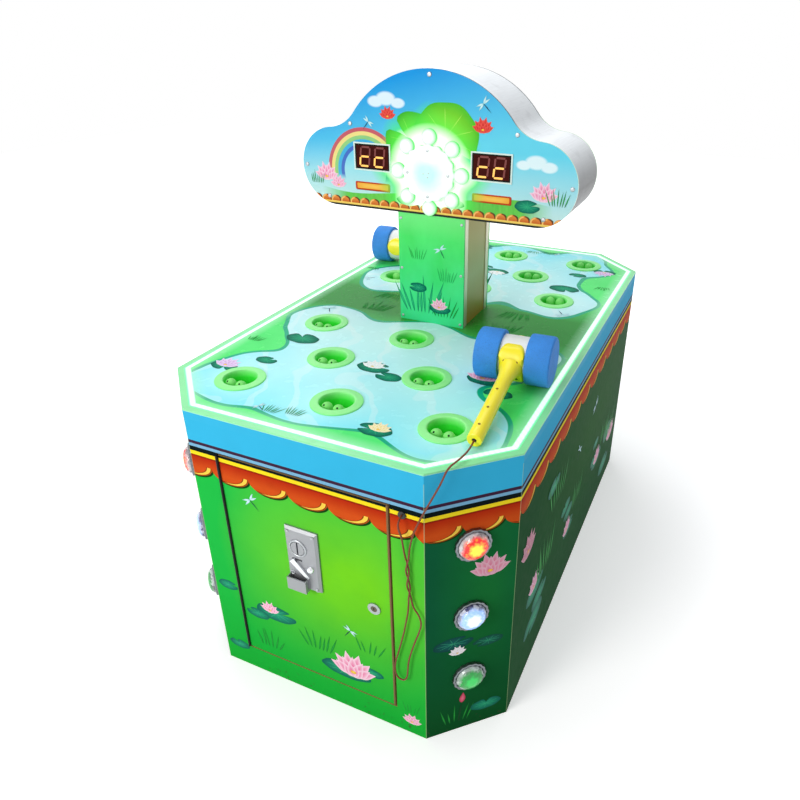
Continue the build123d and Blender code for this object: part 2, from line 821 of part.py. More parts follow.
# Post: acrylic panels front and rear, side sheets, and a frame of four angles and two plates
post_half_x = post_width / 2
post_half_y = post_depth / 2
frame_half_y = post_half_y - acrylic_thickness
side_sheet_x = post_half_x - angle_thickness - side_sheet_thickness / 2
sheet_half_y = frame_half_y - angle_thickness
with BuildPart() as post_panels:
    with BuildSketch(Plane.XY.offset(deck_height)):
        with GridLocations(0, post_depth - acrylic_thickness, 1, 2):
            Rectangle(post_width, acrylic_thickness)
    extrude(amount=post_height)
post_panels.part.label = "post_panels"
export_step(post_panels.part, "parts/post_panels.step")

with BuildPart() as post_sides:
    with BuildSketch(Plane.XY.offset(deck_height)):
        with GridLocations(2 * side_sheet_x, 0, 2, 1):
            Rectangle(side_sheet_thickness, 2 * sheet_half_y)
    extrude(amount=post_height)
post_sides.part.label = "post_sides"
export_step(post_sides.part, "parts/post_sides.step")

with BuildPart() as post_frame:
    with BuildSketch(Plane.XY.offset(deck_height)):
        for side_x in (-1, 1):
            for side_y in (-1, 1):
                Polygon(
                    (side_x * post_half_x, side_y * frame_half_y),
                    (side_x * post_half_x, side_y * (frame_half_y - angle_leg)),
                    (side_x * (post_half_x - angle_thickness), side_y * (frame_half_y - angle_leg)),
                    (side_x * (post_half_x - angle_thickness), side_y * sheet_half_y),
                    (side_x * (post_half_x - angle_leg), side_y * sheet_half_y),
                    (side_x * (post_half_x - angle_leg), side_y * frame_half_y),
                    align=None,
                )
    extrude(amount=post_height)
    plate_half_x = side_sheet_x - side_sheet_thickness / 2
    for plate_bottom in (deck_height, header_bottom - post_plate_thickness):
        with BuildSketch(Plane.XY.offset(plate_bottom)):
            Rectangle(2 * plate_half_x, 2 * sheet_half_y)
        extrude(amount=post_plate_thickness)
post_frame.part.label = "post_frame"
export_step(post_frame.part, "parts/post_frame.step")

# Header: a cloud-shaped band between two printed panels
lobe_z = header_bottom + lobe_radius
band_half = header_depth / 2 - header_panel_thickness
band_plane = Plane.XZ.offset(band_half)
panel_planes = (band_plane, Plane(origin=(0, band_half, 0), x_dir=(-1, 0, 0), z_dir=(0, 1, 0)))


def draw_cloud(drawn_in):
    """Adds the header's outline, drawn in by a distance, to the open sketch: a dome between two
    lobes on a flat foot, with the hollows between them rounded."""
    foot = header_bottom + drawn_in
    with Locations((0, dome_z)):
        Circle(dome_radius - drawn_in)
    with Locations((0, foot)):
        Rectangle(2 * lobe_x, lobe_z - foot, align=(Align.CENTER, Align.MIN))
    with Locations((0, foot)):
        Rectangle(2 * dome_radius, 2 * dome_radius, align=(Align.CENTER, Align.MIN), mode=Mode.INTERSECT)
    with Locations((0, foot)):
        Rectangle(2 * lobe_x, lobe_z - foot, align=(Align.CENTER, Align.MIN))
    with Locations((-lobe_x, lobe_z), (lobe_x, lobe_z)):
        Circle(lobe_radius - drawn_in)


with BuildSketch(Plane.XZ) as cloud:
    draw_cloud(0)
    fillet(cloud.vertices().group_by(Axis.Y)[-1], radius=notch_radius)

with BuildSketch(Plane.XZ) as cloud_inside:
    draw_cloud(band_wall)
    fillet(cloud_inside.vertices().group_by(Axis.Y)[-1], radius=notch_radius + band_wall)

display_places = [(-display_x, display_z), (display_x, display_z)]
with BuildPart() as header_band:
    with BuildSketch(band_plane):
        add(cloud.sketch_local)
        add(cloud_inside.sketch_local, mode=Mode.SUBTRACT)
    extrude(amount=-2 * band_half)
header_band.part.label = "header_band"
export_step(header_band.part, "parts/header_band.step")

with BuildPart() as header_panels:
    for panel_plane in panel_planes:
        with BuildSketch(panel_plane):
            add(cloud.sketch_local)
            with Locations(*display_places):
                Rectangle(
                    display_width - 2 * display_frame,
                    display_height - 2 * display_frame,
                    mode=Mode.SUBTRACT,
                )
            with Locations((0, burst_z)):
                RegularPolygon(burst_socket_radius, lamp_side_count, mode=Mode.SUBTRACT)
        extrude(amount=header_panel_thickness)
header_panels.part.label = "header_panels"
export_step(header_panels.part, "parts/header_panels.step")

# Spacers between the header's panels, one behind each edge screw
shoulder_reach = dome_radius - shoulder_screw_inset
shoulder_x = shoulder_reach * cos(radians(shoulder_screw_angle))
shoulder_z = dome_z + shoulder_reach * sin(radians(shoulder_screw_angle))
tip_x = lobe_x + lobe_radius - edge_screw_inset
heel_x = lobe_x + heel_screw_inset
heel_z = header_bottom + heel_screw_inset
edge_screws = [(0, dome_z + dome_radius - edge_screw_inset), (0, header_bottom + foot_screw_inset)]
for side in (-1, 1):
    edge_screws += [(side * shoulder_x, shoulder_z), (side * tip_x, lobe_z), (side * heel_x, heel_z)]
with BuildPart() as header_spacers:
    with BuildSketch(band_plane):
        with Locations(*edge_screws):
            RegularPolygon(spacer_radius, nut_side_count)
    extrude(amount=-2 * band_half)
header_spacers.part.label = "header_spacers"
export_step(header_spacers.part, "parts/header_spacers.step")

# Score displays: a box behind the panel, and a frame proud of it round a sunk window
with BuildPart() as score_displays:
    for panel_plane in panel_planes:
        with BuildSketch(panel_plane.offset(-display_depth)):
            with Locations(*display_places):
                Rectangle(display_width - 2 * display_frame, display_height - 2 * display_frame)
        extrude(amount=display_depth + header_panel_thickness)
        with BuildSketch(panel_plane.offset(header_panel_thickness)):
            with Locations(*display_places):
                Rectangle(display_width, display_height)
        extrude(amount=display_proud)
        with BuildSketch(panel_plane.offset(header_panel_thickness + display_proud - display_recess)):
            with Locations(*display_places):
                Rectangle(display_width - 2 * display_frame, display_height - 2 * display_frame)
        extrude(amount=display_proud, mode=Mode.SUBTRACT)
score_displays.part.label = "score_displays"
export_step(score_displays.part, "parts/score_displays.step")

# Burst lamps: a shallow drum ringed with pods, and a socket through the panel
with BuildPart() as burst_lamps:
    for panel_plane in panel_planes:
        with BuildSketch(panel_plane.offset(header_panel_thickness)):
            with Locations((0, burst_z)):
                RegularPolygon(burst_radius, burst_side_count)
        extrude(amount=burst_proud)
        with BuildSketch(panel_plane.offset(header_panel_thickness)):
            with Locations((0, burst_z)):
                with PolarLocations(pod_ring_radius, pod_count):
                    RegularPolygon(pod_radius, pod_side_count)
        extrude(amount=pod_proud)
        with BuildSketch(panel_plane.offset(-burst_socket_depth)):
            with Locations((0, burst_z)):
                RegularPolygon(burst_socket_radius - burst_socket_clearance, lamp_side_count)
        extrude(amount=burst_socket_depth + header_panel_thickness)
burst_lamps.part.label = "burst_lamps"
export_step(burst_lamps.part, "parts/burst_lamps.step")

def mallet_plane(toward, place_y):
    """A mallet's own frame: X along its head, -Y along its handle, origin in the middle of the head."""
    yaw = radians(mallet_yaw)
    droop = radians(mallet_droop)
    origin = (-toward * mallet_x, toward * place_y, deck_height + mallet_gap + drum_radius)
    along = (-toward * cos(yaw), -toward * sin(yaw), 0)
    up = (-toward * sin(yaw) * sin(droop), toward * cos(yaw) * sin(droop), cos(droop))
    return Plane(origin=origin, x_dir=along, z_dir=up)


def across_head(frame, distance):
    """Plane square to the head's axis, at a distance along it."""
    return Plane(origin=frame.from_local_coords((distance, 0, 0)), x_dir=frame.y_dir, z_dir=frame.x_dir)


def across_handle(frame, distance):
    """Plane square to the handle, at a distance from the head's axis toward the handle's end."""
    return Plane(origin=frame.from_local_coords((0, -distance, 0)), x_dir=frame.x_dir, z_dir=-frame.y_dir)


# Mallets: foam drums on a core, and a handle whose saddle is clamped round the core by a rear cap
saddle_inner = core_radius + saddle_gap
saddle_outer = saddle_inner + saddle_thickness
neck_length = neck_reach - neck_sink
neck_taper = taper_of(neck_base_radius, handle_radius, neck_length, handle_side_count)
mallet_places = {"front": mallet_plane(-1, front_mallet_y), "rear": mallet_plane(1, rear_mallet_y)}
for side_name, frame in mallet_places.items():
    with BuildPart() as mallet_drums:
        with BuildSketch(across_head(frame, drum_gap / 2)):
            RegularPolygon(drum_radius, drum_side_count)
        extrude(amount=drum_length)
        with BuildSketch(across_head(frame, -drum_gap / 2)):
            RegularPolygon(drum_radius, drum_side_count)
        extrude(amount=-drum_length)
    mallet_drums.part.label = f"{side_name}_mallet_drums"
    export_step(mallet_drums.part, f"parts/{side_name}_mallet_drums.step")

    with BuildPart() as mallet_core:
        with BuildSketch(across_head(frame, -drum_gap / 2)):
            RegularPolygon(core_radius, saddle_side_count)
        extrude(amount=drum_gap)
    mallet_core.part.label = f"{side_name}_mallet_core"
    export_step(mallet_core.part, f"parts/{side_name}_mallet_core.step")

    with BuildPart() as mallet_handle:
        with BuildSketch(across_handle(frame, 0)):
            with BuildLine():
                Polyline(
                    (-saddle_width / 2, -saddle_height / 2 + saddle_corner),
                    (-saddle_width / 2, saddle_height / 2 - saddle_corner),
                    (-saddle_width / 2 + saddle_corner, saddle_height / 2),
                    (saddle_width / 2 - saddle_corner, saddle_height / 2),
                    (saddle_width / 2, saddle_height / 2 - saddle_corner),
                    (saddle_width / 2, -saddle_height / 2 + saddle_corner),
                    (saddle_width / 2 - saddle_corner, -saddle_height / 2),
                    (-saddle_width / 2 + saddle_corner, -saddle_height / 2),
                    close=True,
                )
            make_face()
        extrude(amount=saddle_outer)
        with BuildSketch(across_handle(frame, 0)):
            RegularPolygon(cap_radius, handle_side_count)
        extrude(amount=-saddle_outer)
        with BuildSketch(across_head(frame, -saddle_width)):
            RegularPolygon(saddle_outer, saddle_side_count)
        extrude(amount=2 * saddle_width, mode=Mode.INTERSECT)
        with BuildSketch(across_head(frame, -saddle_width)):
            RegularPolygon(saddle_inner, saddle_side_count)
        extrude(amount=2 * saddle_width, mode=Mode.SUBTRACT)
        with BuildSketch(across_handle(frame, saddle_inner + neck_sink)):
            RegularPolygon(neck_base_radius, handle_side_count)
        extrude(amount=neck_length, taper=neck_taper)
        with BuildSketch(across_handle(frame, saddle_inner + neck_reach)):
            RegularPolygon(handle_radius, handle_side_count)
        extrude(amount=handle_reach - saddle_inner - neck_reach)
        with BuildSketch(across_handle(frame, handle_reach - cord_hole_depth)):
            RegularPolygon(cord_hole_radius, neck_side_count)
        extrude(amount=cord_hole_depth + overrun, mode=Mode.SUBTRACT)
    mallet_handle.part.label = f"{side_name}_mallet_handle"
    export_step(mallet_handle.part, f"parts/{side_name}_mallet_handle.step")

# Eyelet in the front frame where the cord goes in
with BuildPart() as cord_eyelet:
    with BuildSketch(front_face):
        with Locations((eyelet_x, eyelet_z)):
            RegularPolygon(eyelet_flange_radius, hole_side_count)
    extrude(amount=eyelet_flange)
    with BuildSketch(front_face):
        with Locations((eyelet_x, eyelet_z)):
            RegularPolygon(eyelet_radius, hole_side_count)
    extrude(amount=-panel_thickness)
cord_eyelet.part.label = "cord_eyelet"
export_step(cord_eyelet.part, "parts/cord_eyelet.step")

# Front mallet's cord: from the handle's end over the deck's corner, down the front, doubled and
# twisted on itself, down to a fold and back up to the eyelet. Its first and last points are on
# the pieces that it meets.
cord_start = mallet_places["front"].from_local_coords((0, -handle_reach - cord_gap, 0))
cord_end = Vector(eyelet_x, -half_length - eyelet_flange, eyelet_z)
# Each point over the deck: across from the eyelet, share of the way from the handle's end to the
# front face, rise from the eyelet
cord_over_deck = [
    (77.0, 0.228, 94.0),
    (73.0, 0.504, 92.5),
    (64.5, 0.791, 90.5),
    (59.5, 0.89, 70.0),
]
# Each point down the front: across from the eyelet, out from the front face, rise from the eyelet
cord_down_front = [
    (50.0, -1.5, 47.0),
    (40.5, 7.5, 24.0),
    (30.5, 9.0, 1.0),
    (21.0, 7.0, -25.0),
    (14.5, 6.0, -52.0),
    (12.5, 6.5, -76.0),
    (9.6, 9.5, -91.0),
    (6.7, 6.5, -106.0),
    (10.3, 3.5, -121.0),
    (14.3, 6.5, -136.0),
    (12.4, 9.5, -151.0),
    (10.6, 6.5, -166.0),
    (9.0, 6.0, -188.0),
    (5.0, 6.3, -212.0),
    (0.5, 6.0, -238.0),
    (-5.5, 6.3, -265.0),
    (-11.5, 6.0, -291.0),
    (-17.0, 6.3, -313.0),
    (-18.8, 6.5, -330.0),
    (-17.8, 7.0, -343.0),
    (-12.5, 7.5, -352.5),
    (-1.5, 7.5, -353.0),
    (4.5, 7.2, -343.0),
    (6.0, 7.0, -325.0),
    (8.0, 7.3, -301.0),
    (14.0, 7.0, -275.0),
    (21.0, 7.3, -249.0),
    (28.5, 7.0, -225.0),
    (33.5, 7.3, -204.0),
    (29.0, 7.0, -187.0),
    (20.0, 6.5, -177.0),
    (16.6, 6.5, -166.0),
    (12.4, 3.5, -151.0),
    (8.3, 6.5, -136.0),
    (10.3, 9.5, -121.0),
    (12.7, 6.5, -106.0),
    (9.6, 3.5, -91.0),
    (6.5, 6.5, -76.0),
    (4.0, 7.5, -54.0),
    (3.0, 10.0, -33.0),
    (1.5, 16.0, -16.0),
    (0.3, 15.5, -3.0),
]
cord_points = [
    Vector(eyelet_x + across, cord_start.Y + share * (-half_length - cord_start.Y), eyelet_z + rise)
    for across, share, rise in cord_over_deck
]
cord_points += [
    Vector(eyelet_x + across, -half_length - out, eyelet_z + rise)
    for across, out, rise in cord_down_front
]


def bend_radii(points):
    """Radius at each inner point: 0.45 of the shorter run over the tangent of half the turn."""
    radii = []
    for before, here, after in zip(points, points[1:], points[2:]):
        turn = radians((here - before).get_angle(after - here))
        radii.append(0.45 * min((here - before).length, (after - here).length) / tan(turn / 2))
    return radii


cord_route = [cord_start] + cord_points + [cord_end]
cord_radii = bend_radii(cord_route)
with BuildPart() as front_cord:
    with BuildLine():
        cord_line = FilletPolyline(*cord_route, radius=cord_radii)
    with BuildSketch(Plane(origin=cord_line @ 0, z_dir=cord_line % 0)) as cord_section:
        RegularPolygon(cord_radius, cord_side_count)
    sweep()
front_cord.part.label = "front_cord"
export_step(front_cord.part, "parts/front_cord.step")
print("cord radii", [round(radius, 1) for radius in cord_radii])
cord_share = front_cord.part.volume / (cord_section.sketch.area * cord_line.length)
print("cord length", round(cord_line.length, 1), "volume over section times length", round(cord_share, 4))

# Power inlet low on the rear panel: a flange, a recess and three blades in it
inlet_place = (-inlet_x, inlet_z)
with BuildPart() as power_inlet:
    with BuildSketch(rear_face):
        with Locations(inlet_place):
            Rectangle(inlet_width + 2 * inlet_flange, inlet_height + 2 * inlet_flange)
    extrude(amount=inlet_flange_thickness)
    with BuildSketch(rear_face):
        with Locations(inlet_place):
            Rectangle(inlet_width, inlet_height)
    extrude(amount=-inlet_depth)
    with BuildSketch(rear_face.offset(inlet_flange_thickness)):
        with Locations(inlet_place):
            Rectangle(inlet_width - 2 * inlet_wall, inlet_height - 2 * inlet_wall)
    extrude(amount=-inlet_recess, mode=Mode.SUBTRACT)
    with BuildSketch(rear_face.offset(inlet_flange_thickness - inlet_recess)):
        with Locations(inlet_place):
            with GridLocations(2 * blade_pitch, 0, 2, 1):
                Rectangle(blade_thickness, blade_width)
        with Locations(inlet_place):
            Rectangle(blade_thickness, blade_width)
    extrude(amount=blade_length)
power_inlet.part.label = "power_inlet"
export_step(power_inlet.part, "parts/power_inlet.step")

# Power supply on the base board, with a foot at each end
with BuildPart() as power_supply:
    with BuildSketch(Plane.XY.offset(base_thickness)):
        with Locations((supply_x, supply_y)):
            Rectangle(supply_width, supply_length)
    extrude(amount=supply_height)
    with BuildSketch(Plane.XY.offset(base_thickness)):
        with Locations((supply_x, supply_y)):
            Rectangle(supply_width, supply_length + 2 * supply_foot)
    extrude(amount=supply_foot_thickness)
power_supply.part.label = "power_supply"
export_step(power_supply.part, "parts/power_supply.step")

# Control board on four standoffs from the left side panel, with a row of relays and a connector
pcb_face = Plane.YZ.offset(-wall_inside_x)
with BuildPart() as control_board:
    with BuildSketch(pcb_face):
        with Locations((pcb_y, pcb_z)):
            with GridLocations(pcb_length - 2 * standoff_inset, pcb_height - 2 * standoff_inset, 2, 2):
                RegularPolygon(standoff_radius, nut_side_count)
    extrude(amount=standoff_length)
    with BuildSketch(pcb_face.offset(standoff_length)):
        with Locations((pcb_y, pcb_z)):
            Rectangle(pcb_length, pcb_height)
    extrude(amount=pcb_thickness)
    with BuildSketch(pcb_face.offset(standoff_length + pcb_thickness)):
        with Locations((pcb_y, pcb_z + pcb_height / 4)):
            with GridLocations(relay_pitch, 0, relay_count, 1):
                Rectangle(relay_size, relay_size)
        with Locations((pcb_y, pcb_z - pcb_height / 4)):
            Rectangle(pcb_length / 2, connector_height)
    extrude(amount=connector_depth)
control_board.part.label = "control_board"
export_step(control_board.part, "parts/control_board.step")
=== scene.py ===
"""Looks of a two-sided mole pounding arcade machine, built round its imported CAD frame.

Lengths are in metres in the frame's own axes, +Z up and the service door toward -Y. Only the
profiles of turned shapes, the levels of slabs and the sizes of screws are in millimetres. The
printed work is plain pond scenery.
"""

from __future__ import annotations

import json
import logging
import math
from collections.abc import Callable, Sequence
from dataclasses import dataclass
from enum import Enum
from functools import cached_property

import bpy
import numpy as np
from mathutils import Matrix, Vector

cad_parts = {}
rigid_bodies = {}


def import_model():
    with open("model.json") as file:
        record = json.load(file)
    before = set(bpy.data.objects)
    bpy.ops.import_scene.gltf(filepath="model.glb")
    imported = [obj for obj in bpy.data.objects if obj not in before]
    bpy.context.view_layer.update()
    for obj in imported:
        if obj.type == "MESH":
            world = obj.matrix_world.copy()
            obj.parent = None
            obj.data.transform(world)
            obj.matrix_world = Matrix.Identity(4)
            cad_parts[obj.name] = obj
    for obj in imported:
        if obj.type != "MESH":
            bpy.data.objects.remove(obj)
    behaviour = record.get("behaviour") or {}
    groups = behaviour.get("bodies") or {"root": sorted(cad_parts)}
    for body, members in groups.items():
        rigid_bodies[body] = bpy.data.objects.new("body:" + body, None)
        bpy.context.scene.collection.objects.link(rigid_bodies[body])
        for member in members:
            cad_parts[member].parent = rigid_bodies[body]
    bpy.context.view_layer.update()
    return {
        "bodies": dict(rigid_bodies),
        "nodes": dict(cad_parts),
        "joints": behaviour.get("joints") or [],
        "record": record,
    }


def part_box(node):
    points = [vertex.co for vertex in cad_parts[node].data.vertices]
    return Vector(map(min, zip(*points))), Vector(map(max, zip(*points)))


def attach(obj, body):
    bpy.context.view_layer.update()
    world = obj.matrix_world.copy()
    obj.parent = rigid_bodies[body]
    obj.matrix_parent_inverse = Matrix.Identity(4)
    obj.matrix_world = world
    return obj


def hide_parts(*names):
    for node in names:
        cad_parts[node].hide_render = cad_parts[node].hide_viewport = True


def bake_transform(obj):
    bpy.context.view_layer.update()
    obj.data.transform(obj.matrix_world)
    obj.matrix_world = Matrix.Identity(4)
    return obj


LOG = logging.getLogger("pounding_machine")
MM = 0.001
TAU = 2 * math.pi
TINT = "tint"
Colour = tuple[float, float, float]
Point = tuple[float, float]
Place = tuple[float, float, float]

# Main sizes, as the CAD frame has them
HALF_WIDTH, HALF_LENGTH = 0.333, 0.564
FRONT_HALF, SIDE_HALF, CORNER_HALF = 0.220, 0.454, 0.0788
DECK_TOP = 0.580
LAMP_HEIGHTS = (0.135, 0.280, 0.430)
HEADER_FACE, POST_FACE = 0.073, 0.070
BURST_Z, PANEL_FOOT = 0.890, 0.809
DISPLAY_X, DISPLAY_Z = 0.124, 0.910


def srgb(red: int, green: int, blue: int) -> Colour:
    """Linear colour of a printed one.

    Args:
        red, green, blue: the colour as a screen shows it, from 0 to 255.
    Returns:
        The same colour in linear light.
    """
    share = np.array((red, green, blue), float) / 255
    linear = np.where(share <= 0.04045, share / 12.92, ((share + 0.055) / 1.055) ** 2.4)
    return tuple(float(value) for value in linear)


UNLIT = (0.0, 0.0, 0.0)
SKY_BLUE = srgb(58, 184, 228)
LAMP_GREEN = srgb(226, 255, 220)


# Shader maths


def joined(operation: str, swapped: bool = False) -> Callable[..., Level]:
    """A method of Level that adds one Math node.

    Args:
        operation: the node's operation.
        swapped: whether the level comes last, as in a reflected operator.
    Returns:
        The method.
    """

    def method(level: Level, *others: Level | float) -> Level:
        """One Math node on the level and the others."""
        return level.bench.maths(operation, *((*others, level) if swapped else (level, *others)))

    return method


class Level:
    """A number that varies over a surface, so that shader maths reads as plain Python."""

    __add__ = __radd__ = joined("ADD")
    __mul__ = __rmul__ = joined("MULTIPLY")
    __sub__, __rsub__ = joined("SUBTRACT"), joined("SUBTRACT", True)
    __truediv__, __rtruediv__ = joined("DIVIDE"), joined("DIVIDE", True)
    __abs__, sine, wrap, sign = joined("ABSOLUTE"), joined("SINE"), joined("FRACT"), joined("SIGN")
    least, most, above = joined("MINIMUM"), joined("MAXIMUM"), joined("GREATER_THAN")

    def __init__(self, bench: Bench, socket: bpy.types.NodeSocket) -> None:
        """Wraps a socket of the bench's tree."""
        self.bench, self.socket = bench, socket

    def over(self, edge: Level | float, soft: float = 0.0) -> Level:
        """A mask that is 1 above an edge.

        Args:
            edge: where the mask changes.
            soft: width of the change, or 0 for a crisp one.
        Returns:
            The mask, from 0 to 1.
        """
        return ((self - edge) / soft + 0.5).most(0.0).least(1.0) if soft else self.above(edge)

    def under(self, edge: Level | float, soft: float = 0.0) -> Level:
        """A mask that is 1 below an edge."""
        return 1.0 - self.over(edge, soft)

    def root(self) -> Level:
        """Square root, with what is below zero taken as zero."""
        return self.bench.maths("SQRT", self.most(0.0))


def span(across: Level, rise: Level) -> Level:
    """Distance of the point (across, rise) from (0, 0)."""
    return (across * across + rise * rise).root()


def crisp(ramp: bpy.types.ColorRamp, stops: Sequence[tuple[float, Colour]]) -> None:
    """Gives a colour ramp stops that change without blending.

    Args:
        ramp: the ramp, which has two stops at first.
        stops: the place and the colour of each.
    """
    ramp.interpolation = "CONSTANT"
    while len(ramp.elements) < len(stops):
        ramp.elements.new(0.5)
    for element, (place, paint) in zip(ramp.elements, stops):
        element.position, element.color = place, (*paint, 1.0)


class Bench:
    """The node tree of a material or of the world, with the few moves that the finishes need."""

    def __init__(self, owner: bpy.types.Material | bpy.types.World) -> None:
        """Starts the owner's tree afresh.

        Args:
            owner: what the tree belongs to.
        """
        owner.use_nodes = True
        self.tree = owner.node_tree
        self.tree.nodes.clear()

    def feed(self, socket: bpy.types.NodeSocket, value: object) -> None:
        """Links a level or socket to a socket, or writes a plain value on it.

        Args:
            socket: the socket that is fed.
            value: a level, a socket, a colour or a number.
        """
        if isinstance(value, Level):
            value = value.socket
        if isinstance(value, bpy.types.NodeSocket):
            self.tree.links.new(value, socket)
        elif socket.type == "RGBA" and len(value) == 3:
            socket.default_value = (*value, 1.0)
        else:
            socket.default_value = value

    def node(self, kind: str, settings: dict | None = None, values: dict | None = None) -> bpy.types.Node:
        """Adds a node.

        Args:
            kind: the node's Blender type.
            settings: its own settings, which are set first. A ramp's stops are one of them.
            values: the values or links of its sockets, by name or number.
        Returns:
            The node.
        """
        made = self.tree.nodes.new(kind)
        for key, value in (settings or {}).items():
            if key == "stops":
                crisp(made.color_ramp, value)
            else:
                setattr(made, key, value)
        for key, value in (values or {}).items():
            self.feed(made.inputs[key], value)
        return made

    def maths(self, operation: str, *terms: Level | float) -> Level:
        """One Math node on up to three terms."""
        made = self.node("ShaderNodeMath", {"operation": operation}, dict(enumerate(terms)))
        return Level(self, made.outputs[0])

    @cached_property
    def seat(self) -> bpy.types.Node:
        """The tree's one Texture Coordinate node."""
        return self.node("ShaderNodeTexCoord")

    def axes(self, output: str = "Object") -> tuple[Level, Level, Level]:
        """The three parts of the place on the object or, for "Normal", of the way it faces."""
        split = self.node("ShaderNodeSeparateXYZ", None, {0: self.seat.outputs[output]})
        return tuple(Level(self, part) for part in split.outputs)

    def noise(self, scale: float, detail: float = 2.0, along: Place = (1, 1, 1)) -> Level:
        """Cloudy noise from 0 to 1.

        Args:
            scale: how many lumps a metre holds.
            detail: how many finer layers it has.
            along: a scale for each axis, so that the lumps can be long.
        Returns:
            The noise.
        """
        place = self.seat.outputs["Object"]
        if along != (1, 1, 1):
            place = self.node("ShaderNodeMapping", None, {"Vector": place, "Scale": along}).outputs[0]
        values = {"Vector": place, "Scale": scale, "Detail": detail}
        return Level(self, self.node("ShaderNodeTexNoise", None, values).outputs[0])

    def cells(self, scale: float, output: str = "Distance") -> Level:
        """Many scattered cells: the distance from the nearest one's middle or, for "Color", its own grey."""
        values = {"Vector": self.seat.outputs["Object"], "Scale": scale}
        return Level(self, self.node("ShaderNodeTexVoronoi", None, values).outputs[output])

    def mix(self, mask: Level | float, below: object, above: object) -> bpy.types.NodeSocket:
        """A colour that goes from one to another as the mask goes from 0 to 1."""
        return self.node("ShaderNodeMix", {"data_type": "RGBA"}, {0: mask, 6: below, 7: above}).outputs[2]

    def coats(self, colour: object, *coats: tuple[Level | float, object]) -> bpy.types.NodeSocket:
        """A colour under coats that are laid on in turn, each where its mask is 1.

        Args:
            colour: the colour under them.
            coats: the mask and the paint of each.
        Returns:
            The colour with its coats.
        """
        for mask, paint in coats:
            colour = self.mix(mask, colour, paint)
        return colour

    def shade(self, colour: object, level: Level, swing: float) -> bpy.types.NodeSocket:
        """A colour made up to swing darker where the level is 0 and lighter where it is 1.

        Args:
            colour: the colour or its socket.
            level: what makes it uneven, from 0 to 1.
            swing: how far it strays, as a share.
        Returns:
            The uneven colour.
        """
        settings = {"data_type": "RGBA", "blend_type": "MULTIPLY", "clamp_result": True}
        values = {0: 1.0, 6: colour, 7: level * (1.5 * swing) + (1.0 - swing)}
        return self.node("ShaderNodeMix", settings, values).outputs[2]

    def seen(self) -> Level:
        """A mask that is 1 for rays from the camera, straight or by way of gloss or glass.

        Returns:
            The mask.
        """
        rays = self.node("ShaderNodeLightPath").outputs
        kinds = ("Camera", "Glossy", "Transmission")
        camera, glossy, clear = (Level(self, rays[f"Is {kind} Ray"]) for kind in kinds)
        return camera.most(glossy).most(clear)

    def tint(self) -> bpy.types.NodeSocket:
        """The colour kept on the piece's own points, with a print's slight unevenness."""
        kept = self.node("ShaderNodeAttribute", {"attribute_name": TINT}).outputs["Color"]
        return self.shade(kept, self.noise(70.0, 3.0), 0.06)

    def deck_inset(self) -> Level:
        """How far a point of the deck lies inside its edge: the least of the distances to the eight sides.

        Returns:
            The distance, which is below zero outside.
        """
        x, y, _ = self.axes()
        cut_x, cut_y = HALF_WIDTH - FRONT_HALF, HALF_LENGTH - SIDE_HALF
        past = abs(x) / cut_x + abs(y) / cut_y - HALF_WIDTH / cut_x - HALF_LENGTH / cut_y + 1.0
        return (HALF_WIDTH - abs(x)).least(HALF_LENGTH - abs(y)).least(past * -CORNER_HALF)

    def bump(self, height: Level, depth: float) -> bpy.types.NodeSocket:
        """Normal that follows a height, with its depth in metres."""
        values = {"Height": height, "Distance": depth, "Strength": 1.0}
        return self.node("ShaderNodeBump", None, values).outputs[0]

    def surface(self, **sockets: object) -> None:
        """Ends the material with one Principled shader, its sockets named with underscores.

        Args:
            sockets: the value or link of each.
        """
        values = {name.replace("_", " "): value for name, value in sockets.items()}
        shader = self.node("ShaderNodeBsdfPrincipled", None, values)
        self.node("ShaderNodeOutputMaterial", None, {0: shader.outputs[0]})


# Finishes


@dataclass(frozen=True)
class Finish:
    """A finish that any number of pieces can take."""

    name: str

    def paint(self, bench: Bench) -> None:
        """Builds the finish's nodes on the bench."""
        raise NotImplementedError

    def material(self) -> bpy.types.Material:
        """The finish's material, made once.

        Returns:
            The material.
        """
        made = bpy.data.materials.get(self.name)
        if made is None:
            made = bpy.data.materials.new(self.name)
            self.paint(Bench(made))
        return made

    def dress(self, *pieces: bpy.types.Object) -> None:
        """Gives the finish to each piece.

        Args:
            pieces: objects that hold a mesh.
        """
        for piece in pieces:
            if not piece.material_slots:
                piece.data.materials.append(None)
            for place in piece.material_slots:
                place.material = self.material()


@dataclass(frozen=True)
class Moulded(Finish):
    """Moulded plastic: faint mottling, a fine orange-peel skin and rubbed spots."""

    colour: Colour
    roughness: float = 0.35
    peel: float = 900.0
    depth: float = 0.00006
    swing: float = 0.12

    def paint(self, bench: Bench) -> None:
        """Mottled colour under a bumpy skin.

        Args:
            bench: where its nodes go.
        """
        bench.surface(
            Base_Color=bench.shade(self.colour, bench.noise(26.0, 3.0), self.swing),
            Roughness=self.roughness + bench.noise(60.0, 4.0).over(0.6, 0.12) * 0.12,
            Normal=bench.bump(bench.noise(self.peel, 2.0), self.depth),
        )


@dataclass(frozen=True)
class Foam(Finish):
    """Closed-cell foam: small pores and soft dents."""

    colour: Colour

    def paint(self, bench: Bench) -> None:
        """Pores of two sizes, painted a little darker than the skin as shade, and dents painted darker where
        they are deepest.

        Args:
            bench: where its nodes go.
        """
        pores, wide = bench.cells(520.0).under(0.28, 0.2), bench.cells(190.0).under(0.16, 0.12)
        # This noise dents the skin and also paints the deepest dents darker, as shade.
        dents_and_shade = bench.noise(38.0, 4.0)
        height = pores * -0.5 + wide * -1.0 + dents_and_shade * 1.4
        # Painted shade in the pores.
        pore_shade = tuple(part * 0.45 for part in self.colour)
        colour = bench.mix(pores.most(wide) * 0.35, bench.shade(self.colour, dents_and_shade, 0.22), pore_shade)
        bench.surface(Base_Color=colour, Roughness=0.72, Normal=bench.bump(height, 0.0003))


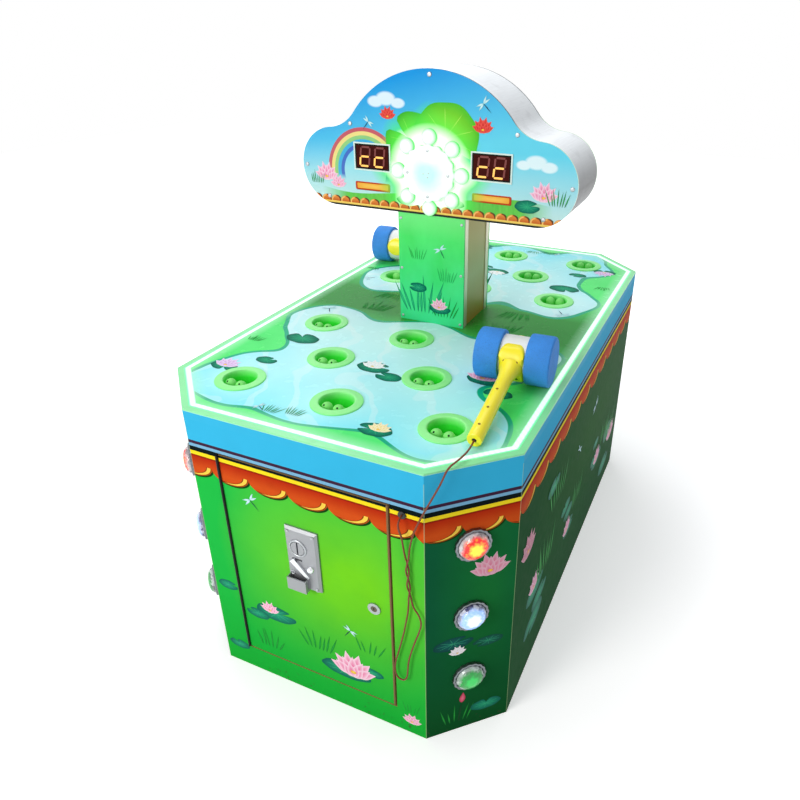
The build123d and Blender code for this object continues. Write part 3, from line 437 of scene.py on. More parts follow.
class Grain(Enum):
    """Axis along which a metal was brushed."""

    Y = (60.0, 1.0, 60.0)
    Z = (60.0, 60.0, 1.0)
    CAST = (1.0, 1.0, 1.0)


@dataclass(frozen=True)
class Metal(Finish):
    """Metal, brushed along an axis or cast, with smudges."""

    colour: Colour
    roughness: float = 0.3
    grain: Grain = Grain.CAST
    metallic: float = 1.0
    swing: float = 0.15
    depth: float = 0.00002

    def paint(self, bench: Bench) -> None:
        """Long or even grain in roughness and height, and cloudy smudges in the colour.

        Args:
            bench: where its nodes go.
        """
        fine = bench.noise(700.0 if self.grain is Grain.CAST else 14.0, 3.0, self.grain.value)
        smudge = bench.noise(22.0, 3.0)
        bench.surface(
            Base_Color=bench.shade(self.colour, fine * 0.5 + smudge * 0.5, self.swing),
            Metallic=self.metallic,
            Roughness=self.roughness + fine * 0.12 + smudge * 0.08,
            Normal=bench.bump(fine, self.depth),
        )


@dataclass(frozen=True)
class Timber(Finish):
    """Bare plywood: streaked face and faint fibres."""

    colour: Colour = (0.5, 0.34, 0.2)

    def paint(self, bench: Bench) -> None:
        """Streaks along the length, and pores.

        Args:
            bench: where its nodes go.
        """
        streak, fibre = bench.noise(7.0, 5.0, (9.0, 1.0, 9.0)), bench.noise(160.0, 3.0, (6.0, 1.0, 6.0))
        colour = bench.mix(streak, self.colour, tuple(part * 0.55 for part in self.colour))
        bench.surface(Base_Color=bench.shade(colour, fibre, 0.15), Roughness=0.75,
                      Normal=bench.bump(fibre, 0.0002))


@dataclass(frozen=True)
class Lit(Finish):
    """A lit moulding: its own light over a tinted plastic, uneven as its lamps are."""

    colour: Colour
    light: Colour

    def paint(self, bench: Bench) -> None:
        """Light that swells and fades a little over the piece.

        Args:
            bench: where its nodes go.
        """
        cloud = bench.noise(90.0, 2.0)
        bench.surface(
            Base_Color=bench.shade(self.colour, cloud, 0.1),
            Roughness=0.25,
            Emission_Color=bench.shade(self.light, cloud, 0.3),
            Emission_Strength=1.0,
        )


@dataclass(frozen=True)
class Print(Finish):
    """Flat printed shapes, each with its own colour on its points, under a clear film."""

    def paint(self, bench: Bench) -> None:
        """The points' colour, hardly shiny."""
        bench.surface(Base_Color=bench.tint(), Roughness=0.36 + bench.noise(500.0) * 0.08,
                      Specular_IOR_Level=0.03)


@dataclass(frozen=True)
class Skin(Finish):
    """Printed laminate of one cabinet side: coloured bands, a scalloped valance and meadow green.

    The side's own across-coordinate is worked out from the way it faces, so one drawing serves
    every wall. half_width is half the wall's printed width, pitch and cusp place the scallops, and
    each row of bands is the height from which its colour reaches up to the next.
    """

    half_width: float = FRONT_HALF
    pitch: float = 0.0765
    cusp: float = 0.051
    offset: float = 0.0
    middle: Colour = srgb(118, 214, 36)
    border: Colour = srgb(34, 190, 72)
    foot: Colour = srgb(26, 174, 56)
    valance_z: float = 0.4705
    scallop: float = 0.0215
    bands: tuple[tuple[float, Colour], ...] = (
        (0.4926, srgb(250, 224, 40)), (0.5000, srgb(14, 26, 26)), (0.5090, srgb(124, 180, 214)),
        (0.5150, srgb(66, 40, 62)), (0.5210, SKY_BLUE))

    def paint(self, bench: Bench) -> None:
        """Green that pales inwards, scallops, bands by height, and bare board on the inner faces.

        Args:
            bench: where its nodes go.
        """
        x, y, z = bench.axes()
        face_x, face_y, face_z = bench.axes("Normal")
        across = y * face_x - x * face_y
        if self.offset:
            across = across - (face_x * face_y).sign() * self.offset
        share = across / self.half_width
        away = span(share - 0.35, (z - 0.30) / 0.26) + (bench.noise(3.2, 3.0) - 0.5) * 0.5
        place = (across - self.cusp) / self.pitch
        swing, drop = (place.wrap() - 0.5) * 2.0, (self.valance_z - z) / self.scallop
        ring, moved, low = span(swing, drop), span(swing + 0.2, drop + 0.07), drop.over(-0.03)
        shadow = span(((place - 0.045).wrap() - 0.5) * 2.0, drop - 0.12).under(1.0, 0.02)
        cloth = bench.mix((drop + 0.9) / 1.2, srgb(186, 44, 18), srgb(214, 84, 30))
        print_colour = bench.coats(
            bench.mix(away - 0.2, self.middle, self.border),
            (z.under(0.16, 0.3), self.foot),
            (bench.noise(9.0, 5.0).over(0.6, 0.25) * 0.2, self.foot),
            (shadow.most(drop.under(0.12)), srgb(20, 66, 22)),
            (ring.under(1.0, 0.015).most(drop.under(0.0)), bench.shade(cloth, bench.noise(40.0, 3.0), 0.12)),
            (ring.under(0.965, 0.02) * moved.over(0.895, 0.02) * low, srgb(90, 34, 14)),
            (ring.under(0.925, 0.02) * moved.over(0.935, 0.02) * low, srgb(253, 210, 80)),
            (z.over(0.4895, 0.0006), srgb(150, 40, 20)),
            *((z.over(height, 0.0004), paint) for height, paint in self.bands),
        )
        inward = (x * face_x + y * face_y).under(0.0).most(abs(face_x).over(0.9) * abs(y).over(0.5))
        colour = bench.coats(
            bench.shade(print_colour, bench.noise(14.0, 3.0), 0.07),
            (abs(share).over(1.0 - 0.0008 / self.half_width) * 0.4, srgb(190, 216, 160)),
            (bench.noise(120.0, 5.0).over(0.66, 0.04) * z.under(0.03, 0.03) * 0.6, srgb(60, 70, 50)),
            (abs(face_z).over(0.5), srgb(112, 84, 54)),
            (inward, bench.shade(srgb(166, 134, 94), bench.noise(7.0, 5.0, (9.0, 9.0, 1.0)), 0.2)),
        )
        bench.surface(
            Base_Color=colour,
            Roughness=0.36 + bench.noise(60.0, 3.0) * 0.15,
            Specular_IOR_Level=0.006,
            Normal=bench.bump(bench.noise(420.0, 2.0), 0.00003),
        )


@dataclass(frozen=True)
class DeckEdge(Finish):
    """The deck board: sky-blue printed edge, paler above lip_z, and bare ply beneath."""

    lip_z: float = 0.5762

    def paint(self, bench: Bench) -> None:
        """Blue on the upright faces and ply on the flat ones.

        Args:
            bench: where its nodes go.
        """
        z, upright = bench.axes()[2], abs(bench.axes("Normal")[2]).under(0.5)
        ply = bench.mix(bench.noise(7.0, 5.0, (1.0, 9.0, 9.0)), srgb(198, 172, 130), srgb(150, 120, 84))
        blue = bench.shade(SKY_BLUE, bench.noise(14.0, 3.0), 0.07)
        colour = bench.coats(ply, (upright, blue), (z.over(self.lip_z) * upright, srgb(170, 232, 214)))
        bench.surface(
            Base_Color=colour,
            Roughness=0.36 + bench.noise(60.0, 3.0) * 0.15,
            Specular_IOR_Level=0.02,
            Normal=bench.bump(bench.noise(400.0), 0.00003),
        )


@dataclass(frozen=True)
class PondSheet(Finish):
    """The playfield's print: a pale pond with a dark bank on light green turf.

    The pond is where the sum of soft discs round the holes passes a level, with its bank
    pushed about by noise. Towards the lit strip the print whitens, as it does under light.
    """

    holes: tuple[Point, ...] = ((0, 0.441), (0.2, 0.441), (0.1, 0.302), (0, 0.162), (0.2, 0.162))
    reach: float = 0.060
    level: float = 0.34

    def paint(self, bench: Bench) -> None:
        """Pond field, bank line, turf with painted shade across its middle, ripples and the glow from the
        strip.

        Args:
            bench: where its nodes go.
        """
        x, y, _ = bench.axes()
        bend = (bench.noise(5.5, 2.0) - 0.5) * 0.05
        wave = (x * 23.0 + 1.0).sine() * 0.010 + (y * 31.0).sine() * 0.012
        px, py = abs(x) + bend + (y * 17.0).sine() * 0.008, abs(y) + wave + bend
        field = 0.0
        for hole_x, hole_y in self.holes:
            dx, dy = (px - hole_x) / self.reach, (py - hole_y) / self.reach
            field = bench.maths("EXPONENT", (dx * dx + dy * dy) * -0.5) + field
        ripple = ((x * 55.0 + bench.noise(7.0, 2.0) * 14.0 + y * 20.0).sine() * 0.5 + 0.5).over(0.93, 0.05)
        water = bench.coats(
            bench.mix(field.over(self.level + 0.35, 0.7), srgb(138, 236, 248), srgb(182, 248, 250)),
            (abs(y).under(0.32, 0.3) * 0.6, srgb(226, 253, 252)),
            (ripple * 0.2, srgb(250, 255, 255)),
        )
        colour = bench.coats(
            bench.mix(bench.noise(12.0, 4.0), srgb(58, 222, 100), srgb(98, 246, 132)),
            # Painted shade: darker turf in a band across the middle, under the post and header.
            (abs(y).under(0.13, 0.14) * 0.9, srgb(14, 134, 24)),
            (field.over(self.level - 0.065, 0.008), srgb(16, 172, 130)),
            (field.over(self.level, 0.012), water),
            ((0.046 - bench.deck_inset()) / 0.03 * 0.65, srgb(190, 255, 210)),
        )
        bench.surface(
            Base_Color=bench.shade(colour, bench.noise(30.0, 3.0), 0.04),
            Roughness=0.2 + bench.noise(45.0, 3.0) * 0.12,
            Specular_IOR_Level=0.1,
            Normal=bench.bump(bench.noise(300.0, 2.0), 0.00002),
        )


@dataclass(frozen=True)
class Diffuser(Finish):
    """The deck's lit strip: a row of bright points behind a milky cover."""

    pitch: float = 0.0125
    inset: float = 0.018
    half: float = 0.0045
    soft: float = 0.003

    def paint(self, bench: Bench) -> None:
        """A swell of light at each point of the row, brightest along the strip's middle.

        Args:
            bench: where its nodes go.
        """
        x, y, _ = bench.axes()
        swell = ((x + y) * (TAU / self.pitch)).sine() * 0.5 + 0.5
        core = abs(bench.deck_inset() - self.inset).under(self.half, self.soft)
        points = bench.mix(swell, srgb(226, 255, 238), srgb(255, 255, 255))
        bench.surface(
            Base_Color=bench.mix(core, srgb(70, 190, 120), srgb(150, 190, 168)),
            Roughness=0.4,
            Emission_Color=bench.mix(core, srgb(96, 240, 160), points),
            Emission_Strength=0.8,
        )


@dataclass(frozen=True)
class Cups(Finish):
    """Hole cups: pale green rims, and a throat that turns full green and then darker as painted shade, with a
    painted green glow that grows over fade.
    """

    crown_z: float = 0.5835
    fade: float = 0.03

    def paint(self, bench: Bench) -> None:
        """Colour by height, with painted shade and a painted glow that grow down the throat.

        Args:
            bench: where its nodes go.
        """
        depth = (self.crown_z - bench.axes()[2]) / self.fade
        colour = bench.mix(depth * 2.0, srgb(150, 244, 150), srgb(62, 224, 66))
        # Painted shade: the throat darkens toward its foot.
        colour = bench.mix((depth - 0.9) / 0.6, colour, srgb(16, 150, 26))
        bench.surface(
            Base_Color=bench.shade(colour, bench.noise(60.0, 3.0), 0.08),
            # Painted light: the throat glows green, as if lit from below.
            Emission_Color=bench.mix(depth, UNLIT, srgb(20, 220, 30)),
            Emission_Strength=0.16,
            Specular_IOR_Level=0.3,
            Roughness=0.38 + bench.noise(120.0, 3.0) * 0.12,
            Normal=bench.bump(bench.noise(700.0, 2.0), 0.00005),
        )


@dataclass(frozen=True)
class LampGlass(Finish):
    """Faceted lamp covers, lit red at the top, white-blue in the middle and green at the foot.

    corner is a slanting wall's middle in x and y, along the wall's direction, and core and hot the
    radii of the lit core and of its brightest part. Each row of paints is a part's green, blue and red.
    """

    corner: Point = (0.2765, 0.509)
    along: Point = (0.7165, 0.6975)
    core: float = 0.0215
    hot: float = 0.0115
    paints: tuple[tuple[Colour, Colour, Colour], ...] = (
        (srgb(2, 132, 46), srgb(150, 190, 255), srgb(236, 22, 16)),
        (srgb(16, 186, 74), srgb(244, 250, 255), srgb(255, 220, 50)),
        (srgb(120, 170, 130), srgb(96, 90, 190), srgb(176, 116, 110)))

    def paint(self, bench: Bench) -> None:
        """A lit core by the distance from the lamp's middle, in a clear faceted crown painted with glints and
        dark reflections.

        Args:
            bench: where its nodes go.
        """
        x, y, z = bench.axes()
        foot, middle, head = LAMP_HEIGHTS
        across = (abs(x) - self.corner[0]) * self.along[0] - (abs(y) - self.corner[1]) * self.along[1]
        top, low = z.over((middle + head) / 2), z.over((foot + middle) / 2)
        rise = z - foot - low * (middle - foot) - top * (head - middle)
        lobes = (bench.maths("ARCTAN2", rise, across) * 7.0).sine() * 0.0009
        radius = span(across, rise) + lobes + (bench.noise(240.0, 2.0) - 0.5) * 0.004
        spark = bench.cells(170.0).under(0.35, 0.3)
        core, hot = radius.under(self.core, 0.005), radius.under(self.hot, 0.006)
        tint, bright, rim = (
            bench.mix(top, bench.mix(low, green, blue), red) for green, blue, red in self.paints)
        # Painted reflections: the crown's cells are dark grey or white, standing for glints in the clear
        # plastic.
        crown = bench.mix(bench.cells(120.0, "Color").over(0.35, 0.5), srgb(70, 72, 80), srgb(240, 244, 248))
        bench.surface(
            Base_Color=bench.mix(core, bench.mix(0.3, crown, rim), bench.mix(hot, tint, bright)),
            Roughness=0.08 + spark * 0.1,
            Coat_Weight=0.3,
            Emission_Color=bench.mix(core, UNLIT, bench.mix(hot.most(spark * 0.7), tint, bright)),
            Emission_Strength=0.6,
        )


@dataclass(frozen=True)
class Sky(Finish):
    """The header's print: sky over a hill with a rainbow, a lit halo and a scalloped foot.

    across runs to the player's right on both faces. Each row of puffs is a cloud's lump, its place
    and its size, and each row of bow a stop of the rainbow. The lamp's halo is green within
    halo_green of it and white within halo_white, with a wavy edge.
    """

    puffs: tuple[Place, ...] = (
        (0.208, 0.925, 0.022), (0.232, 0.918, 0.017), (0.185, 0.919, 0.015),
        (-0.113, 1.012, 0.018), (-0.091, 1.018, 0.022), (-0.066, 1.011, 0.016))
    bow: tuple[tuple[float, Colour], ...] = (
        (0.0, srgb(60, 90, 190)), (0.2, srgb(60, 170, 220)), (0.4, srgb(150, 205, 110)),
        (0.6, srgb(250, 220, 120)), (0.8, srgb(205, 70, 70)))
    bow_middle: Point = (-0.142, 0.880)
    bow_inner: float = 0.047
    bow_outer: float = 0.084
    pitch: float = 0.0225
    scallop: float = 0.0105
    crest: float = 0.009
    halo_green: float = 0.122
    halo_white: float = 0.092

    def rainbow(self, bench: Bench, radius: Level) -> bpy.types.NodeSocket:
        """The bow's colour by the distance from its middle, in crisp rings."""
        share = (radius - self.bow_inner) / (self.bow_outer - self.bow_inner)
        return bench.node("ShaderNodeValToRGB", {"stops": self.bow}, {0: share}).outputs[0]

    def scallops(self, bench: Bench, across: Level, z: Level) -> tuple[tuple[Level, object], ...]:
        """Coats of the foot: shadow, cloth with its dark and light edges, a yellow line and a black one.

        Args:
            bench: where their nodes go.
            across, z: the place on the panel.
        Returns:
            The mask and the paint of each coat.
        """
        swing = ((across / self.pitch).wrap() - 0.5) * 2.0
        lift = (z - PANEL_FOOT - self.crest) / self.scallop
        ring = span(swing, lift)
        cloth = bench.coats(
            bench.mix(lift, srgb(206, 104, 34), srgb(238, 142, 56)),
            (ring.over(0.82, 0.04) * swing.over(0.1, 0.2), srgb(120, 52, 20)),
            (ring.over(0.7, 0.06) * ring.under(0.92) * swing.under(-0.1, 0.2), srgb(252, 196, 110)),
        )
        return (
            (span(swing - 0.16, lift).under(1.03, 0.03), srgb(46, 60, 20)),
            (ring.under(1.0, 0.03).most(z.under(PANEL_FOOT + self.crest)),
             bench.shade(cloth, bench.noise(80.0), 0.1)),
            (z.under(PANEL_FOOT + 0.0078, 0.0006), srgb(246, 206, 96)),
            (z.under(PANEL_FOOT + 0.0040, 0.0006), srgb(16, 26, 16)),
        )

    def paint(self, bench: Bench) -> None:
        """Sky by height, hill by a sine line, arcs by distance, halo by distance from the lamp.

        Args:
            bench: where its nodes go.
        """
        x, _, z = bench.axes()
        _, face_y, _ = bench.axes("Normal")
        across, rise = x * face_y * -1.0, (z - 0.83) / 0.24
        sky = bench.mix(rise / 0.45, srgb(196, 232, 232), srgb(104, 214, 240))
        sky = bench.mix((rise - 0.4 - across * 0.9) / 0.6, sky, srgb(8, 150, 226))
        cloud = -1.0
        for puff_x, puff_z, size in self.puffs:
            dx, dz = (across - puff_x) / size, (z - puff_z) / (size * 0.6)
            cloud = (1.0 - (dx * dx + dz * dz)).most(cloud)
        radius = span(across - self.bow_middle[0], z - self.bow_middle[1])
        arc = radius.over(self.bow_inner, 0.001) * radius.under(self.bow_outer, 0.001) * z.over(0.868, 0.01)
        hill = 0.846 + ((across - 0.02) * 11.0).sine() * 0.006 + (across * -26.0).sine() * 0.004
        grass = bench.mix(bench.noise(60.0, 3.0, (3.0, 1.0, 0.6)), srgb(70, 176, 60), srgb(120, 214, 84))
        rays = (bench.maths("ARCTAN2", z - BURST_Z, across) * 8.0 + math.pi / 2).sine() * 0.008
        away = span(across, z - BURST_Z) - rays
        foot = self.scallops(bench, across, z)
        glow = ((self.halo_white + 0.002 - away) / 0.022).most(0.0) * foot[1][0].under(0.5)
        bench.surface(
            Base_Color=bench.coats(
                bench.shade(sky, bench.noise(9.0, 4.0), 0.06),
                (cloud.over(0.2, 0.5) * 0.8, srgb(244, 252, 255)),
                (arc * 0.9, self.rainbow(bench, radius)),
                (z.under(hill, 0.001) * abs(across).under(0.215, 0.06), grass),
                ((self.halo_green - away) / 0.036 * 0.85, srgb(76, 240, 84)),
                ((self.halo_white - away) / 0.022, srgb(236, 255, 226)),
                *foot,
                (abs(face_y).under(0.5), srgb(40, 70, 80)),
            ),
            Roughness=0.16 + bench.noise(50.0, 3.0) * 0.08,
            Specular_IOR_Level=0.18,
            Emission_Color=bench.mix(glow, UNLIT, LAMP_GREEN),
            Emission_Strength=0.55,
        )


@dataclass(frozen=True)
class HeaderPrint(Finish):
    """The header's printed shapes, washed out by the burst lamp where they come near it."""

    halo_green: float = 0.119
    halo_white: float = 0.091

    def paint(self, bench: Bench) -> None:
        """The points' colour, greener and then white toward the lamp.

        Args:
            bench: where its nodes go.
        """
        x, _, z = bench.axes()
        away = span(x, z - BURST_Z)
        glow = (self.halo_white - away) / 0.022
        green = (self.halo_green - away) / 0.036 * 0.75
        bench.surface(
            Base_Color=bench.coats(bench.tint(), (green, srgb(84, 244, 84)), (glow, srgb(236, 255, 226))),
            Roughness=0.3 + bench.noise(500.0) * 0.08,
            Specular_IOR_Level=0.1,
            Emission_Color=bench.mix(glow, UNLIT, LAMP_GREEN),
            Emission_Strength=0.5,
        )


@dataclass(frozen=True)
class BurstGlass(Finish):
    """The burst lamp's frosted moulding: white light, teal at its middle and green low on its pods."""

    teal: float = 0.026
    plate: float = 0.0505
    pod_height: float = 0.010

    def paint(self, bench: Bench) -> None:
        """Tint by distance from the lamp's middle and, past the plate, by height over the panel.

        Args:
            bench: where its nodes go.
        """
        x, y, z = bench.axes()
        away = span(x, z - BURST_Z)
        high = (abs(y) - HEADER_FACE) / self.pod_height
        cloud = bench.noise(90.0, 2.0)
        light = bench.mix(away.under(self.teal, 0.022), srgb(250, 255, 252), srgb(196, 250, 240))
        pod = bench.mix((high - 0.35) / 0.65, srgb(70, 236, 96), light)
        light = bench.mix(away.over(self.plate, 0.002), light, pod)
        bench.surface(
            Base_Color=bench.shade(bench.mix(0.7, light, srgb(60, 96, 76)), cloud, 0.08),
            Roughness=0.25 + cloud * 0.1,
            Emission_Color=bench.shade(light, cloud, 0.12),
            Emission_Strength=0.8,
        )


@dataclass(frozen=True)
class DisplayCase(Finish):
    """A score display: white frame round a dark red window, each given by half its width and height."""

    frame: Point = (0.0378, 0.0238)
    window: Point = (0.0352, 0.0212)

    def paint(self, bench: Bench) -> None:
        """Dark inside the frame's width on each face, white elsewhere.

        Args:
            bench: where its nodes go.
        """
        x, y, z = bench.axes()
        across, rise = abs(abs(x) - DISPLAY_X), abs(z - DISPLAY_Z)
        front = abs(bench.axes("Normal")[1]).over(0.5) * abs(y).over(POST_FACE)
        inside, window = (
            across.under(wide) * rise.under(high) * front for wide, high in (self.frame, self.window))
        case = bench.mix(inside, bench.shade(srgb(226, 240, 234), bench.noise(40.0), 0.05), srgb(14, 30, 26))
        bench.surface(
            Base_Color=bench.mix(window, case, bench.shade(srgb(52, 10, 8), bench.noise(90.0, 3.0), 0.3)),
            Roughness=0.22 + bench.noise(80.0) * 0.1,
            Specular_IOR_Level=0.05,
            Emission_Color=bench.mix(window, UNLIT, srgb(150, 40, 16)),
            Emission_Strength=0.06,
        )


@dataclass(frozen=True)
class Band(Finish):
    """The header's metal band, brushed round its edge, with painted light on its upward faces and painted
    shade on its downward ones.
    """

    def paint(self, bench: Bench) -> None:
        """Fine streaks along the band's width, a few smudges, and painted light and shade by the way each
        face points.

        Args:
            bench: where its nodes go.
        """
        streak = bench.noise(16.0, 3.0, (40.0, 1.0, 40.0))
        # Painted light and shade: white where a face points up, dark grey where it points down.
        colour = bench.mix((bench.axes("Normal")[2] + 0.05) / 0.9, srgb(50, 53, 54), srgb(246, 251, 255))
        colour = bench.mix(bench.noise(22.0, 4.0).over(0.62, 0.1) * 0.14, colour, srgb(110, 116, 124))
        bench.surface(Base_Color=bench.shade(colour, streak, 0.16), Metallic=0.35,
                      Roughness=0.28 + streak * 0.14, Normal=bench.bump(streak, 0.00002))


@dataclass(frozen=True)
class Meadow(Finish):
    """The post's acrylic print: green that turns bluer toward the deck, lit from the lamp above."""

    def paint(self, bench: Bench) -> None:
        """Green by height, with drifts of darker green and light under the header.

        Args:
            bench: where its nodes go.
        """
        z = bench.axes()[2]
        colour = bench.coats(
            bench.mix((z - DECK_TOP) / (PANEL_FOOT - DECK_TOP), srgb(56, 220, 146), srgb(84, 238, 104)),
            (bench.noise(14.0, 4.0, (1.0, 1.0, 0.5)).over(0.55, 0.25) * 0.4, srgb(40, 206, 60)),
            (z.over(0.79, 0.06) * 0.4, srgb(170, 255, 180)),
        )
        bench.surface(
            Base_Color=bench.shade(colour, bench.noise(45.0, 3.0), 0.05),
            Roughness=0.15 + bench.noise(60.0) * 0.08,
            Specular_IOR_Level=0.2,
        )


@dataclass(frozen=True)
class PostSide(Finish):
    """The post's side sheets: gold anodised, paler and greener half way up, at the share waist."""

    waist: float = 0.45

    def paint(self, bench: Bench) -> None:
        """Gold at the foot, grey green in the middle and olive under the header, with fine streaks.

        Args:
            bench: where its nodes go.
        """
        share = (bench.axes()[2] - DECK_TOP) / (PANEL_FOOT - DECK_TOP)
        streak = bench.noise(14.0, 3.0, Grain.Z.value)
        colour = bench.mix(share / self.waist, srgb(176, 140, 22), srgb(180, 184, 132))
        colour = bench.mix((share - self.waist) / 0.5, colour, srgb(164, 150, 62))
        bench.surface(Base_Color=bench.shade(colour, streak, 0.14), Metallic=0.35,
                      Roughness=0.36 + streak * 0.12, Normal=bench.bump(streak, 0.00002))


@dataclass(frozen=True)
class Paper(Finish):
    """The studio's white paper: its own light grows over fade from the distance near."""

    near: float = 0.6
    fade: float = 1.6

    def paint(self, bench: Bench) -> None:
        """Light by distance for rays that see the paper, and an even grey for the others.

        Args:
            bench: where its nodes go.
        """
        x, y, _ = bench.axes()
        glow = bench.mix((span(x, y) - self.near) / self.fade, srgb(178, 178, 178), srgb(250, 250, 250))
        bench.surface(
            Base_Color=bench.shade(srgb(240, 240, 240), bench.noise(3.0), 0.01),
            Roughness=0.9,
            Specular_IOR_Level=0.1,
            Emission_Color=bench.mix(bench.seen(), srgb(96, 96, 96), glow),
            Emission_Strength=1.0,
        )


# Surfaces


@dataclass(frozen=True)
class Side:
    """A flat place on the machine: its origin and the directions of its across, up and out."""

    origin: Place
    across: Place
    up: Place

    @property
    def out(self) -> np.ndarray:
        """Direction away from the machine."""
        return np.cross(self.across, self.up)

    def at(self, u: np.ndarray, v: np.ndarray, w: np.ndarray | float = 0.0) -> np.ndarray:
        """Points in the machine's frame.

        Args:
            u, v: distances across and up, as arrays of one shape.
            w: distance outwards.
        Returns:
            The points, with a last axis of three.
        """
        u, v, w = np.broadcast_arrays(u, v, w)
        spread = u[..., None] * np.array(self.across) + v[..., None] * np.array(self.up)
        return np.array(self.origin) + spread + w[..., None] * self.out

    def moved(self, u: float, v: float, w: float = 0.0) -> Side:
        """The same side with its origin moved across, up and out."""
        return Side(tuple(self.at(np.array(u), np.array(v), w)), self.across, self.up)

    def around(self, reach: float, turn: float, out: float = 0.0) -> Side:
        """The same side with its origin moved by a reach at an angle, and out, in millimetres."""
        return self.moved(reach * MM * math.cos(turn), reach * MM * math.sin(turn), out * MM)


class Surface:
    """A mesh put together from grids of points, each row and column joined by quads."""

    def __init__(self) -> None:
        """Starts with no points."""
        self.points: list[np.ndarray] = []
        self.quads: list[np.ndarray] = []
        self.tints: list[np.ndarray] = []
        self.count = 0

    def add(self, grid: np.ndarray, tint: np.ndarray | Colour = (1, 1, 1)) -> Surface:
        """Adds a grid of points, whose last column joins the first.

        Args:
            grid: points of shape (rows, columns, 3); faces turn from rows to columns.
            tint: a colour for each point, or one colour.
        Returns:
            This surface.
        """
        rows, columns = grid.shape[:2]
        number = np.arange(rows * columns).reshape(rows, columns) + self.count
        after = np.roll(number, -1, axis=1)
        self.points.append(grid.reshape(-1, 3))
        self.quads.append(np.stack([number[:-1], after[:-1], after[1:], number[1:]], axis=-1).reshape(-1, 4))
        self.tints.append(np.broadcast_to(tint, (rows, columns, 3)).reshape(-1, 3))
        self.count += rows * columns
        return self

    def build(self, name: str, finish: Finish, smooth: float | None = 35.0) -> bpy.types.Object:
        """Makes the object, with doubles merged, and dresses it.

        Args:
            name: the piece's name.
            finish: what it is made of.
            smooth: angle in degrees above which an edge stays sharp, or None for flat facets.
        Returns:
            The object, at the origin.
        """
        points, quads = np.concatenate(self.points), np.concatenate(self.quads)
        keys = np.round(points * 1e7).astype(np.int64)
        _, first, number = np.unique(keys, axis=0, return_index=True, return_inverse=True)
        faces = [list(dict.fromkeys(face)) for face in number.reshape(-1)[quads].tolist()]
        mesh = bpy.data.meshes.new(name)
        mesh.from_pydata(points[first].tolist(), [], [face for face in faces if len(face) > 2])
        tint = mesh.color_attributes.new(TINT, "FLOAT_COLOR", "POINT")
        colours = np.concatenate([np.concatenate(self.tints)[first], np.ones((len(first), 1))], axis=1)
        tint.data.foreach_set("color", colours.astype(np.float32).ravel())
        if smooth is not None:
            mesh.polygons.foreach_set("use_smooth", np.ones(len(mesh.polygons), bool))
            mesh.set_sharp_from_angle(angle=math.radians(smooth))
        mesh.validate()
        mesh.update()
        piece = placed(name, mesh)
        finish.dress(piece)
        return piece


def placed(name: str, data: bpy.types.ID) -> bpy.types.Object:
    """A new object in the scene, at the origin.

    Args:
        name: the object's name.
        data: its mesh, curve, light or camera.
    Returns:
        The object.
    """
    made = bpy.data.objects.new(name, data)
    bpy.context.scene.collection.objects.link(made)
    return made


def turned(side: Side, profile: Sequence[Point], turns: int, lobe: np.ndarray | float = 1.0,
           twist: float = 0.0) -> np.ndarray:
    """Grid of a turned shape: each (radius, height) of the profile swept round the side's out axis.

    Args:
        side: whose origin and out axis the shape is turned on.
        profile: radius and height of each row in millimetres, from the foot outwards to the crown.
        turns: how many columns one turn has.
        lobe: a factor on the radius, which may differ for each column, for scalloped rims.
        twist: part of a column by which every other row is turned, for facets.
    Returns:
        The grid, closed across its columns.
    """
    radius, height = np.array(profile, float).T[..., None] * MM
    angle = (np.arange(turns) + twist * (np.arange(len(radius)) % 2)[:, None]) * TAU / turns
    return side.at(radius * (lobe * np.cos(angle)), radius * (lobe * np.sin(angle)), height)


def rounded(half: Point, corner: float, count: int = 6) -> np.ndarray:
    """Outline of a rectangle with round corners, as points going round from its lower right.

    Args:
        half: half the width and half the height.
        corner: the corners' radius.
        count: how many points a corner has.
    Returns:
        The outline, as (4 * count, 2).
    """
    bend = np.linspace(0, TAU / 4, count)
    parts = []
    for turn, (sx, sy) in enumerate(((1, -1), (1, 1), (-1, 1), (-1, -1))):
        angle = bend + (turn - 1) * TAU / 4
        middle = np.array(((half[0] - corner) * sx, (half[1] - corner) * sy))
        parts.append(middle + corner * np.stack([np.cos(angle), np.sin(angle)], axis=-1))
    return np.concatenate(parts)


def slab(side: Side, outline: np.ndarray, foot: float, top: float) -> np.ndarray:
    """Grid of a flat slab: its outline at its foot and its top, in millimetres out, and the top's middle.

    Args:
        side: where it stands.
        outline: its outline round the side's origin.
        foot, top: its lowest and its highest level.
    Returns:
        The grid, closed across its columns.
    """
    rows = [side.at(*outline.T, height * MM) for height in (foot, top)]
    middle = side.at(np.array(0.0), np.array(0.0), top * MM)
    return np.stack([*rows, np.broadcast_to(middle, rows[0].shape)])


def hexed(side: Side, radius: float, height: float) -> np.ndarray:
    """Grid of a small domed screw head, sized in millimetres."""
    profile = ((1, 0), (1, 0.45), (0.8, 0.85), (0.3, 1), (0, 1))
    return turned(side, [(radius * out, height * up) for out, up in profile], 12)


def spun(turn: float) -> np.ndarray:
    """Matrix that turns rows of (u, v) by an angle."""
    return np.array([[math.cos(turn), math.sin(turn)], [-math.sin(turn), math.cos(turn)]])


# Printed shapes

LILY_ROWS = ((6, 1.0, 1.2, 0.44), (5, 0.84, 0.9, 0.42), (4, 0.62, 0.6, 0.36))


